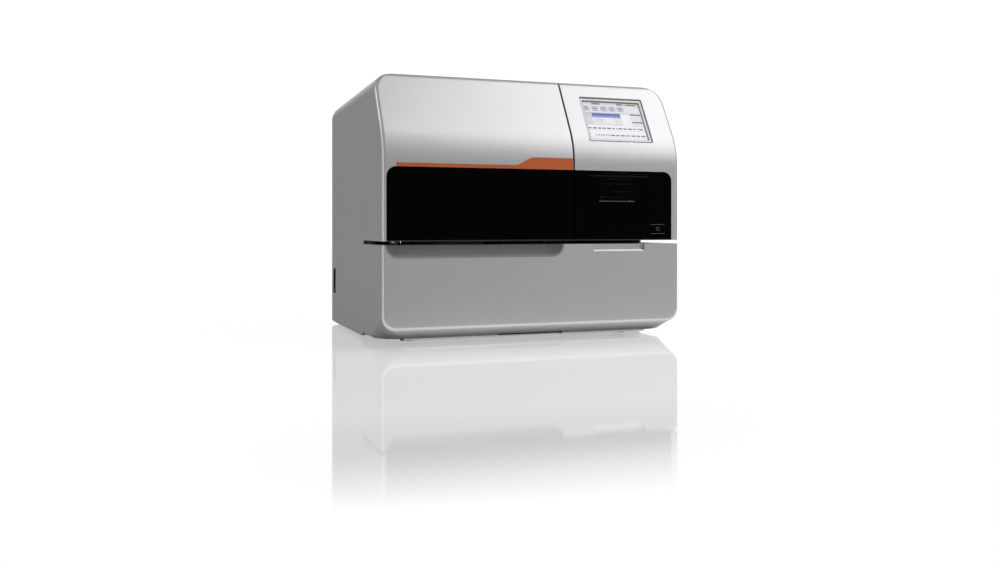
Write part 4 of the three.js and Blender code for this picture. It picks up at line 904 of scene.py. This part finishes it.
def makePage():
    face = -screen["top"] - screen["thick"] - fit - glass["drop"]
    wide, long = screen["wide"] + glass["margin"] * 2, screen["long"] + glass["margin"] * 2
    pane = slantPrism(screenOutline(wide, long, mm), face - glass["thick"], face, "touchScreen")
    lit = glow("lit page ground", pageTints["ground"], glass["light"])
    finishPiece(pane, "case", "screen", lit, ["touch_screen"])
    for layer, (name, cells) in enumerate(pageShares.items()):
        points, faces = [], []
        top = face + glass["layer"] * (layer + 2)
        for x0, x1, y0, y1 in cells:
            left, right = (x0 - 0.5) * screen["wide"], (x1 - 0.5) * screen["wide"]
            high, low = (0.5 - y0) * screen["long"], (0.5 - y1) * screen["long"]
            first = len(points)
            for z in (face - glass["drop"], top):
                points += [(left, low, z), (right, low, z), (right, high, z), (left, high, z)]
            faces += [tuple(first + spot for spot in ring) for ring in boxFaces]
        piece = newPiece(f"page_{name}", points, faces)
        piece.data.transform(onSlant)
        finishPiece(piece, "case", "screen", glow(f"lit page {name}", pageTints[name], glass["markLight"]))


makePage()
print("screen made")

# right fascia, printer door and start button
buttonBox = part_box("start_button")
flange = 1.6 * mm
panel = {"seamLap": 0.2 * mm, "bevel": 0.3 * mm}
button = {
    "left": buttonBox[0].x + flange,
    "right": buttonBox[1].x - flange,
    "low": buttonBox[0].z + flange,
    "high": buttonBox[1].z - flange,
    "corner": 2.5 * mm,
    "line": 0.5 * mm,
    "margin": 3 * mm,
    "lineGaps": (2.4 * mm, 1.9 * mm),
    "proud": 0.05 * mm,
    "markProud": 0.06 * mm,
    "markOuter": 3.4 * mm,
    "markInner": 2.7 * mm,
    "markSides": 32,
    "bevel": 0.3 * mm,
}


def doorBore(left, right):
    return rod("x", door["bore"], left, right, doorAxisY, doorAxisZ, door["boreSides"])


def makeFascia():
    fascia = carve(bandPanel("fasciaPanel"), "INTERSECT", block(fasciaBox[0].x, far, -far, far, 0, far))
    gap = door["gap"]
    carve(fascia, "UNION", block(
        housingLeft - panel["seamLap"], fasciaBox[0].x + mm,
        band["face"] + panel["seamLap"], frontY + band["seam"],
        band["low"], band["high"] - fit,
    ))
    carve(
        fascia, "DIFFERENCE",
        frontPrism(rounded(
            doorBox[0].x - gap, doorBox[1].x + gap, doorBox[0].z - gap, doorBox[1].z + gap, gap, gap, 3,
        ), -far, far),
        frontPrism(rounded(
            button["left"] - fit, button["right"] + fit, button["low"] - fit, button["high"] + fit,
            button["corner"], button["corner"],
        ), -far, far),
    )
    for x0, x1 in (
        (doorBox[0].x - gap - door["ear"], doorBox[0].x - gap),
        (doorBox[1].x + gap, doorBox[1].x + gap + door["ear"]),
    ):
        carve(fascia, "UNION", block(
            x0, x1, band["face"] + gap, doorAxisY + door["earHalf"],
            doorAxisZ - door["earHalf"], doorAxisZ + door["earHalf"],
        ))
        carve(fascia, "DIFFERENCE", doorBore(x0 - gap, x1 + gap))
    finishPiece(fascia, "case", "black_gloss", black, ["right_fascia"], panel["bevel"])


def makePrinterDoor():
    face = doorBox[0].y
    bend = doorAxisY - face
    shelf = doorAxisZ + door["pin"] + fit
    outline = [(face, doorBox[0].z), (face + door["thick"], doorBox[0].z), (face + door["thick"], shelf)]
    outline += [(doorAxisY, shelf)] + arc(doorAxisY, doorAxisZ, bend, math.pi / 2, math.pi, 10)
    piece = sidePrism(outline, doorBox[0].x, doorBox[1].x, "printerDoor")
    for x in (doorBox[0].x, doorBox[1].x - door["ear"]):
        carve(piece, "UNION", block(
            x, x + door["ear"], face + door["gap"], doorAxisY + door["thick"],
            doorAxisZ - door["earHalf"], doorAxisZ + door["thick"],
        ))
        carve(piece, "DIFFERENCE", doorBore(x - mm, x + door["ear"] + mm))
    slots = [(door["paperSlot"], door["paperHigh"])] + [(z, door["louvreHigh"]) for z in door["louvres"]]
    for z, high in slots:
        bend = high * door["slotRoundShare"]
        slot = rounded(door["slotLeft"], door["slotRight"], z - high / 2, z + high / 2, bend, bend, 4)
        carve(piece, "DIFFERENCE", frontPrism(slot, -far, doorAxisY + door["ear"]))
    finishPiece(piece, "printer_door", "black_gloss", black, ["printer_door"], door["bevel"])
    # a tear bar under the paper slot
    top = door["paperSlot"] - door["paperHigh"] / 2 - tear["drop"]
    bar = block(
        door["slotLeft"] - mm, door["slotRight"] + mm, face - tear["proud"], face + tear["deep"],
        top - tear["high"], top, "tearBar",
    )
    finishPiece(bar, "printer_door", "bright_metal", greyMark, bevel=tear["bevel"])


def makeButton():
    cap = frontPrism(rounded(
        button["left"], button["right"], button["low"], button["high"], button["corner"], button["corner"],
    ), buttonBox[0].y, buttonBox[1].y, "startButton")
    carve(cap, "UNION", block(
        buttonBox[0].x, buttonBox[1].x, band["back"] + fit, buttonBox[1].y, buttonBox[0].z, buttonBox[1].z,
    ))
    finishPiece(cap, "start_button", "black_gloss", black, ["start_button"], button["bevel"])
    centre = (button["left"] + button["right"]) / 2, (button["low"] + button["high"]) / 2
    face, sides = buttonBox[0].y, button["markSides"]
    ring = rod("y", button["markOuter"], face - button["markProud"], face + fit, *centre, sides, "startMark")
    carve(ring, "DIFFERENCE", rod("y", button["markInner"], face - over, face + over, *centre, sides))
    finishPiece(ring, "start_button", "bright_metal", greyMark)
    under, above = button["lineGaps"]
    for index, z in enumerate((button["low"] - under, button["high"] + above)):
        line = block(
            button["left"] - button["margin"], button["right"] + button["margin"],
            band["face"] - button["proud"], band["face"] + fit,
            z, z + button["line"], f"buttonLine_{index + 1}",
        )
        finishPiece(line, "case", "bright_metal", greyMark)


makeFascia()
makeLip("fasciaLip", fasciaBox[0].x, band["right"] - fit, "case")
makePrinterDoor()
makeButton()
print("fascia made")

# lower front cover: coved finger recess on the left, a shallow one with a steep ledge on the right
recess = {
    "left": -284.5 * mm,
    "right": 48.4 * mm,
    "drop": 20.2 * mm,
    "depth": 20 * mm,
    "corner": 20 * mm,
    "draw": 9 * mm,
    "steps": 10,
}
shallow = {
    "left": 112 * mm,
    "right": 219 * mm,
    "drop": 15.3 * mm,
    "depth": 7 * mm,
    "slope": 4.4 * mm,
    "ledge": 2.6 * mm,
}
bay = {"left": -267.5 * mm, "right": 46 * mm, "front": frontY + 23 * mm}
grip = {"half": 65 * mm, "high": 3.6 * mm, "deep": 12 * mm, "hold": 3 * mm, "bevel": 0.3 * mm}
coverBevel = 0.4 * mm


def coveCutter(grow):
    rings = []
    depth = recess["depth"] + grow
    turns = [step / recess["steps"] * math.pi / 2 for step in range(recess["steps"] + 1)]
    places = [frontY - over] + [frontY + depth * math.sin(turn) for turn in turns]
    for index, y in enumerate(places):
        share = max(0, index - 1) / recess["steps"]
        draw = recess["draw"] * (1 - math.cos(share * math.pi / 2)) - grow
        low, high = lowerTop - recess["drop"] + draw, lowerTop + recess["drop"]
        bend = recess["corner"] - max(0, draw) + grow
        outline = rounded(recess["left"] + draw, recess["right"] - draw, low, high, bend, mm, 10)
        rings.append([(x, y, z) for x, z in outline])
    return turned(skinRings("cutter", rings))


def shallowCutter(grow):
    low, back = lowerTop - shallow["drop"] - grow, frontY + shallow["depth"] + grow
    rise = low + shallow["slope"]
    profile = [
        (frontY - over, low), (frontY, low), (frontY + shallow["ledge"], rise), (back, rise + mm),
        (back, lowerTop + over), (frontY - over, lowerTop + over),
    ]
    return sidePrism(profile, shallow["left"] - grow, shallow["right"] + grow)


def makeLowerCover():
    shell = lowerForm(0)
    shell.name = "lowerFrontCover"
    carve(shell, "INTERSECT", block(-far, far, -far, joinY, 0, lowerTop), frontPrism(
        rounded(-halfWidth, halfWidth, lowerLow, far, form["skirt"], mm), -far, far,
    ))
    whole = copyOf(shell, "cutter")
    # the recess skin is a copy of the silver cover painted a darker grey, painted shade inside the finger recess
    recessShade = copyOf(shell, "fingerRecess")
    hollow = lowerForm(wall)
    carve(hollow, "DIFFERENCE", block(-far, far, -far, far, lowerTop - wall, far))
    carve(shell, "DIFFERENCE", hollow)
    carve(whole, "INTERSECT", shallowCutter(wall))
    carve(shell, "UNION", whole)
    bayFloor = lowerTop - wall - fit
    room = block(bay["left"], bay["right"], bay["front"], joinY + over, bayFloor, lowerTop + over)
    gripFront, gripBack = frontY + rim["depth"] - grip["hold"], frontY + rim["depth"] + grip["deep"]
    gripTop = lowerLow + grip["high"]
    grab = block(-grip["half"], grip["half"], -far, gripBack, 0, gripTop)
    # a black rubber pad at the back of the grip slot; its black also stands in for the slot's shade, painted shade
    slotShadePad = block(
        fit - grip["half"], grip["half"] - fit, gripFront, gripBack - fit,
        lowerLow + fit, gripTop - fit, "gripPad",
    )
    finishPiece(slotShadePad, "case", "rubber", rubber, bevel=grip["bevel"])
    carve(recessShade, "INTERSECT", coveCutter(wall))
    carve(recessShade, "DIFFERENCE", coveCutter(0), copyOf(room, "cutter"))
    carve(shell, "DIFFERENCE", coveCutter(wall), shallowCutter(0), room, grab)
    finishPiece(recessShade, "case", "silver", recessShadeGrey, bevel=grip["bevel"])
    finishPiece(shell, "case", "silver", silver, ["lower_front_cover"], coverBevel)


makeLowerCover()
print("lower cover made")

# rear covers
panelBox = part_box("rear_panel")
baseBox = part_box("chassis_base")
splitGap = 0.4 * mm
baseRoom = 5 * mm
footRise = 30 * mm


def rearShell(name):
    shell = copyOf(rearOuter, name)
    carve(shell, "INTERSECT", block(-far, far, coverFront, far, 0, far))
    carve(
        shell, "DIFFERENCE", copyOf(rearInner, "cutter"),
        block(baseBox[0].x - fit, baseBox[1].x + fit, -far, rearY - wall, -far, baseBox[1].z + baseRoom),
        block(
            panelBox[0].x - fit, panelBox[1].x + fit, rearY - wall - fit, far,
            panelBox[0].z - fit, panelBox[1].z + fit,
        ),
    )
    return shell


def makeSideCover(sign, name, node):
    cover = rearShell(name)
    upper = sorted((sign * (topSplit + splitGap * 2), sign * far))
    lower = sorted((sign * splitGap, sign * far))
    keep = block(*upper, -far, far, 0, far)
    carve(keep, "UNION", block(*lower, -far, far, 0, panelBox[0].z + splitGap))
    carve(cover, "INTERSECT", keep)
    back = coverFront + footRise
    wedge = [(coverFront - mm, 0), (back, 0), (back, coverLow), (coverFront - mm, lowerLow)]
    carve(cover, "DIFFERENCE", sidePrism(wedge, -far, far))
    if sign < 0:
        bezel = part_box("switch_bezel")
        carve(cover, "DIFFERENCE", block(
            -far, bezel[1].x, bezel[0].y - fit, bezel[1].y + fit, bezel[0].z - fit, bezel[1].z + fit,
        ))
    finishPiece(cover, "case", "silver", silver, [node], coverBevel)


makeSideCover(-1, "leftSideCover", "left_side_cover")
makeSideCover(1, "rightSideCover", "right_side_cover")
topCover = rearShell("topCover")
carve(topCover, "INTERSECT", block(-topSplit, topSplit, -far, far, panelBox[1].z, far))
finishPiece(topCover, "case", "silver", silver, ["top_cover"], coverBevel)
for spare in (frontOuter, frontInner, rearOuter, rearInner):
    bpy.data.objects.remove(spare)
print("covers made")

# screws, sleeves and small fittings carried by the finished surface only
screwShares = {
    "head": ((0.96, 0), (1, 0.2), (0.94, 0.4), (0.66, 0.56), (0.25, 0.62)),
    "cross": ((0.13, 0.55), (0.55, 0.13)),
    "crossFloor": 0.3,
    "sides": 18,
}
rear, up, front = (0, 1, 0), (0, 0, 1), (0, -1, 0)
# radius, facing, body, then the places in millimetres as grids of x, y and z
screwRows = {
    "rearScrews": (3.4 * mm, rear, "case", [
        ((-263, 263), (231.8,), (32, 170, 306, 442)), ((-90, 90), (231.8,), (32, 442)),
    ]),
    "guardScrews": (2.6 * mm, rear, "case", [((134, 206), (234.1,), (294, 366))]),
    "wallScrews": (3 * mm, front, "case", [((-274, 62), (129.5,), (200, 270, 340))]),
    "motorScrews": (1.8 * mm, up, "case", [((31, 59), (151, 180), (460.8,))]),
    "railScrews": (2.4 * mm, front, "case", [((-254, 52), (122.2,), (412,))]),
    "carriageScrews": (1.8 * mm, up, "y_carriage", [((-33, -7), (48, 72), (406.8,))]),
}
sleeves = {
    "tube": {
        "count": 3,
        "node": "sample_tube",
        "grow": 0.25 * mm,
        "high": 18 * mm,
        "up": 62,
        "finish": ("sample_rack", "paper", paper),
    },
    "vial": {
        "count": 2,
        "node": "reagent_vial",
        "grow": 0.2 * mm,
        "high": 5.8 * mm,
        "up": 27,
        "finish": ("case", "white_plastic", white),
    },
}
sleeveEdge = 0.2 * mm
sleeveSides = 32
# the hose's course is in millimetres over the top of the probe holder
probeHose = {
    "radius": 1.5 * mm,
    "sides": 12,
    "sink": 2,
    "straight": 8,
    "rise": 10,
    "bend": 7,
    "steps": 12,
    "tail": ((14, -6), (13, -16), (5, -22)),
    "collar": ((3.2 * mm, 0), (3.4 * mm, 0.4 * mm), (3.4 * mm, 3.4 * mm), (2.4 * mm, 4.6 * mm)),
    "collarSides": 6,
    "collarSink": 0.2,
    "collarBevel": 0.2 * mm,
}
sockets = {
    "places": ((-40, 84, 17, 14.5), (-12, 84, 14, 7.5), (10, 84, 14, 7.5)),
    "corner": 0.8 * mm,
    "sunk": 0.4 * mm,
    "proud": 1.4 * mm,
    "rim": mm,
    "rimCorner": 0.5 * mm,
    "floor": 0.2 * mm,
    "bevel": 0.15 * mm,
    "inset": 1.2 * mm,
    "insetCorner": 0.4 * mm,
    "innerLow": 0.1 * mm,
    "innerHigh": 0.5 * mm,
    "tongueHigh": 1.2 * mm,
    "tongueSide": 0.2,
    "tongueLevels": (0.4, 0.6),
}


def roundPoints(radius, sides):
    turns = (2 * math.pi * side / sides for side in range(sides))
    return [(radius * math.cos(turn), radius * math.sin(turn)) for turn in turns]


def lathe(name, profile, sides):
    return turned(skinRings(name, [
        [(x, y, z) for x, y in roundPoints(radius, sides)] for radius, z in profile
    ]))


def spread(name, unit, spots, facing=up):
    turn = Vector(facing).to_track_quat("Z", "Y").to_matrix().to_4x4()
    points, faces = [], []
    for spot in spots:
        first = len(points)
        points += [Vector(spot) * mm + turn @ vertex.co for vertex in unit.data.vertices]
        faces += [tuple(first + corner for corner in polygon.vertices) for polygon in unit.data.polygons]
    bpy.data.objects.remove(unit)
    return newPiece(name, points, faces)


def screws(name, radius, facing, body, grids):
    profile = [(radius * wide, radius * high) for wide, high in screwShares["head"]]
    head = lathe("head", profile, screwShares["sides"])
    for wide, long in screwShares["cross"]:
        carve(head, "DIFFERENCE", block(
            -radius * wide, radius * wide, -radius * long, radius * long,
            radius * screwShares["crossFloor"], radius,
        ))
    spots = [(x, y, z) for across, deep, levels in grids for x in across for y in deep for z in levels]
    finishPiece(spread(name, head, spots, facing), body, "bright_metal", bright, angle=40)


def boxed(node):
    low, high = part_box(node)
    return (low + high) / 2 / mm, low / mm, high / mm


def makeSleeves():
    for kind, sleeve in sleeves.items():
        for index in range(1, sleeve["count"] + 1):
            middle, low, high = boxed(f"{sleeve['node']}_{index}")
            radius = (high.x - low.x) / 2 * mm + sleeve["grow"]
            inner, top = radius - sleeveEdge, sleeve["high"] - sleeveEdge
            profile = [(inner, 0), (radius, sleeveEdge), (radius, top), (inner, sleeve["high"])]
            unit = lathe("sleeve", profile, sleeveSides)
            place = (middle.x, middle.y, low.z + sleeve["up"])
            finishPiece(spread(f"{kind}Label_{index}", unit, [place]), *sleeve["finish"])


def hose(name, path, radius, sides):
    rings = []
    for index, point in enumerate(path):
        ahead = path[min(index + 1, len(path) - 1)] - path[max(index - 1, 0)]
        turn = ahead.to_track_quat("Z", "X").to_matrix()
        rings.append([point + turn @ Vector((x, y, 0)) for x, y in roundPoints(radius, sides)])
    return turned(skinRings(name, rings))


def makeHoses():
    middle, low, high = boxed("probe_holder")
    start = Vector((middle.x, middle.y, high.z - probeHose["sink"]))
    bend, steps = probeHose["bend"], probeHose["steps"]
    route = [(0, 0), (0, probeHose["straight"])]
    for turn in (math.pi * step / steps for step in range(steps + 1)):
        route.append((bend * (1 - math.cos(turn)), probeHose["rise"] + bend * math.sin(turn)))
    path = [(start + Vector((0, away, lift))) * mm for away, lift in (*route, *probeHose["tail"])]
    pipe = hose("probeHose", path, probeHose["radius"], probeHose["sides"])
    finishPiece(pipe, "probe", "clear", clear, angle=60)
    collar = lathe("collar", probeHose["collar"], probeHose["collarSides"])
    place = (start.x, start.y, high.z - probeHose["collarSink"])
    collar = spread("hoseCollar", collar, [place])
    finishPiece(collar, "probe", "white_plastic", white, bevel=probeHose["collarBevel"])


def socketOutline(sides, inset, corner, steps):
    left, right, low, top = sides
    return rounded(left + inset, right - inset, low + inset, top - inset, corner, corner, steps)


def makeSockets():
    for index, (x, z, wide, high) in enumerate(sockets["places"], 1):
        left, right = (x - wide / 2) * mm, (x + wide / 2) * mm
        low, top = (z - high / 2) * mm, (z + high / 2) * mm
        sides = left, right, low, top
        floor = rearY + sockets["floor"]
        shell = frontPrism(
            socketOutline(sides, 0, sockets["corner"], 4),
            rearY - sockets["sunk"], rearY + sockets["proud"], f"socketShell_{index}",
        )
        mouth = socketOutline(sides, sockets["rim"], sockets["rimCorner"], 4)
        carve(shell, "DIFFERENCE", frontPrism(mouth, floor, far))
        finishPiece(shell, "case", "bright_metal", bright, bevel=sockets["bevel"])
        inner = frontPrism(
            socketOutline(sides, sockets["inset"], sockets["insetCorner"], 3),
            rearY + sockets["innerLow"], rearY + sockets["innerHigh"], f"socketFloor_{index}",
        )
        side = wide * sockets["tongueSide"] * mm
        tongueLow, tongueTop = (low + high * share * mm for share in sockets["tongueLevels"])
        carve(inner, "UNION", block(
            left + side, right - side, floor, rearY + sockets["tongueHigh"], tongueLow, tongueTop,
        ))
        finishPiece(inner, "case", "dark_plastic", dark)


for name, row in screwRows.items():
    screws(name, *row)
makeSleeves()
makeHoses()
makeSockets()
print("fittings made")

# the works keep their own shapes and take a finish
finishes = {
    "silver": silver, "black_gloss": black, "smoked_window": smoked, "orange": orange,
    "pale_bezel": pale, "screen": pale, "sheet_steel": steel, "bright_metal": bright,
    "rubber": rubber, "dark_plastic": dark, "white_plastic": white, "clear": clear,
    "paper": paper, "circuit_board": board,
}
slotOf = {part["node"]: part["material_slot"] for part in frame["record"]["subparts"]}
for name, node in nodes.items():
    node.data.materials.clear()
    node.data.materials.append(finishes[slotOf[name]])

# camera fitted to the photograph
view = {
    "place": (-0.6800, -1.8807, 0.2119),
    "turn": 20.28,
    "lens": 34.77,
    "sensor": 36,
    "rise": -0.0553,
}
camera = bpy.data.objects.new("camera", bpy.data.cameras.new("camera"))
bpy.context.scene.collection.objects.link(camera)
camera.location = view["place"]
camera.rotation_euler = (math.pi / 2, 0, -math.radians(view["turn"]))
camera.data.lens = view["lens"]
camera.data.sensor_width = view["sensor"]
camera.data.shift_y = view["rise"]
bpy.context.scene.camera = camera

# floor, backdrop, lamps and world
lamps = {
    "softbox": {"place": (2.0, -1.75, 2.7), "aim": (0, -0.2, 0.3), "size": (2.8, 3.4), "power": 79},
    "edge": {"place": (-2.6, -0.1, 2.3), "aim": (-0.29, -0.2, 0.42), "size": (0.5, 0.6), "power": 14},
    "strip": {"place": (-3.0, -1.5, 0.9), "aim": (-0.3, -0.2, 0.3), "size": (0.6, 1.8), "power": 14.5},
}
for name, lamp in lamps.items():
    light = bpy.data.lights.new(name, "AREA")
    light.shape = "RECTANGLE"
    light.size, light.size_y = lamp["size"]
    light.energy = lamp["power"]
    holder = bpy.data.objects.new(name, light)
    holder.location = lamp["place"]
    holder.rotation_euler = (Vector(lamp["aim"]) - holder.location).to_track_quat("-Z", "Y").to_euler()
    bpy.context.scene.collection.objects.link(holder)

# the world's light on the object, and its white behind the object
sky = {"bounce": 0.28, "seen": 1.0}
world = bpy.data.worlds.new("studio")
bpy.context.scene.world = world
world.use_nodes = True
studio = world.node_tree
path = studio.nodes.new("ShaderNodeLightPath")
brightness = studio.nodes.new("ShaderNodeMix")
brightness.inputs["A"].default_value = sky["bounce"]
brightness.inputs["B"].default_value = sky["seen"]
studio.links.new(path.outputs["Is Camera Ray"], brightness.inputs["Factor"])
studio.nodes["Background"].inputs["Color"].default_value = (1, 1, 1, 1)
studio.links.new(brightness.outputs["Result"], studio.nodes["Background"].inputs["Strength"])

floorLook = {
    "reach": 12.0,
    "rough": 0.05,
    "metallic": 0.7,
    "grey": (0.46, 0.46, 0.46),
    "white": (0.95, 0.95, 0.95),
    # emission colour the floor shows in reflections; brighter than white, it feeds the painted bead highlight
    "bounce": (1.5, 1.5, 1.5),
    "slant": 0.59,
}
# each ramp: where it starts and ends, in metres, and its two values
floorRamps = {
    "underFront": (-0.2, -0.24, 0.04, 0.95),
    "beadEnd": (-0.29, -0.42, 0, 0.88),
    "bounceEdge": (-0.2, -0.24, 0.12, 1.0),
    "mirrorEnd": (-0.97, -1.23, 0.5, 1.0),
    "mirrorMiddle": (-0.94, -0.82, 0, 0.07),
    "leftEdge": (-0.54, -0.7, 0, 1),
    "allRound": (1.2, 1.7, 0, 1),
    "nearFoot": (-0.34, -0.2, 0, 0.12),
    "rightEdge": (0.47, 0.75, 0, 1),
    "behind": (0.3, 0.7, 0, 1),
}
backdropLook = {"left": -0.9, "right": 10.6, "away": 8.0, "high": 6.0, "glow": 1.05}


def makeStage():
    reach = floorLook["reach"]
    corners = [(-reach, -reach, 0), (reach, -reach, 0), (reach, reach, 0), (-reach, reach, 0)]
    floor = newPiece("floor", corners, [(0, 1, 2, 3)])
    paint = Paint("white floor", Roughness=floorLook["rough"], Metallic=floorLook["metallic"])

    def ramp(spot, name):
        start, end, low, high = floorRamps[name]
        limits = {"Value": spot, "From Min": start, "From Max": end, "To Min": low, "To Max": high}
        return paint.add("ShaderNodeMapRange", {"interpolation_type": "SMOOTHSTEP"}, limits)

    across = paint.add("ShaderNodeSeparateXYZ", {}, {0: paint.place()}, "X")
    deep = paint.add("ShaderNodeSeparateXYZ", {}, {0: paint.place()}, "Y")
    away = paint.add("ShaderNodeVectorMath", {"operation": "LENGTH"}, {0: paint.place()}, "Value")
    seen = paint.add("ShaderNodeLightPath", {}, {}, "Is Camera Ray")
    glossy = paint.add("ShaderNodeLightPath", {}, {}, "Is Glossy Ray")
    # for reflections only, a strip of floor in front of the object glows, a painted highlight on the lower front
    # bead
    beadHighlightGlow = glossy * (ramp(deep, "underFront") - ramp(deep, "beadEnd"))
    rays = seen + glossy * ramp(deep, "bounceEdge")
    plain = ramp(deep, "mirrorEnd") + ramp(deep, "mirrorMiddle") + ramp(across, "leftEdge")
    # less white lift just in front of the object: painted contact shadow on the floor
    plain = plain + ramp(away, "allRound") - ramp(deep, "nearFoot")
    plain = plain + ramp(across - deep * floorLook["slant"], "rightEdge") + ramp(deep, "behind")
    paint.colour(paint.blend(rays, floorLook["grey"], floorLook["white"]))
    glowing = paint.add("ShaderNodeEmission", {}, {
        "Color": paint.blend(glossy, (1, 1, 1), floorLook["bounce"]), "Strength": 1.0,
    })
    lifted = {0: seen * plain + beadHighlightGlow, 1: Wire(paint, paint.shader.outputs[0]), 2: glowing}
    output = paint.tree.nodes["Material Output"]
    paint.feed(output.inputs["Surface"], paint.add("ShaderNodeMixShader", {}, lifted))
    floor.data.materials.append(paint.material)
    left, right, back, top = (backdropLook[key] for key in ("left", "right", "away", "high"))
    corners = [(left, back, 0), (right, back, 0), (right, back, top), (left, back, top)]
    backdrop = newPiece("backdrop", corners, [(0, 1, 2, 3)])
    backdrop.data.materials.append(glow("white backdrop", (1, 1, 1), backdropLook["glow"]))


makeStage()
print("studio made")
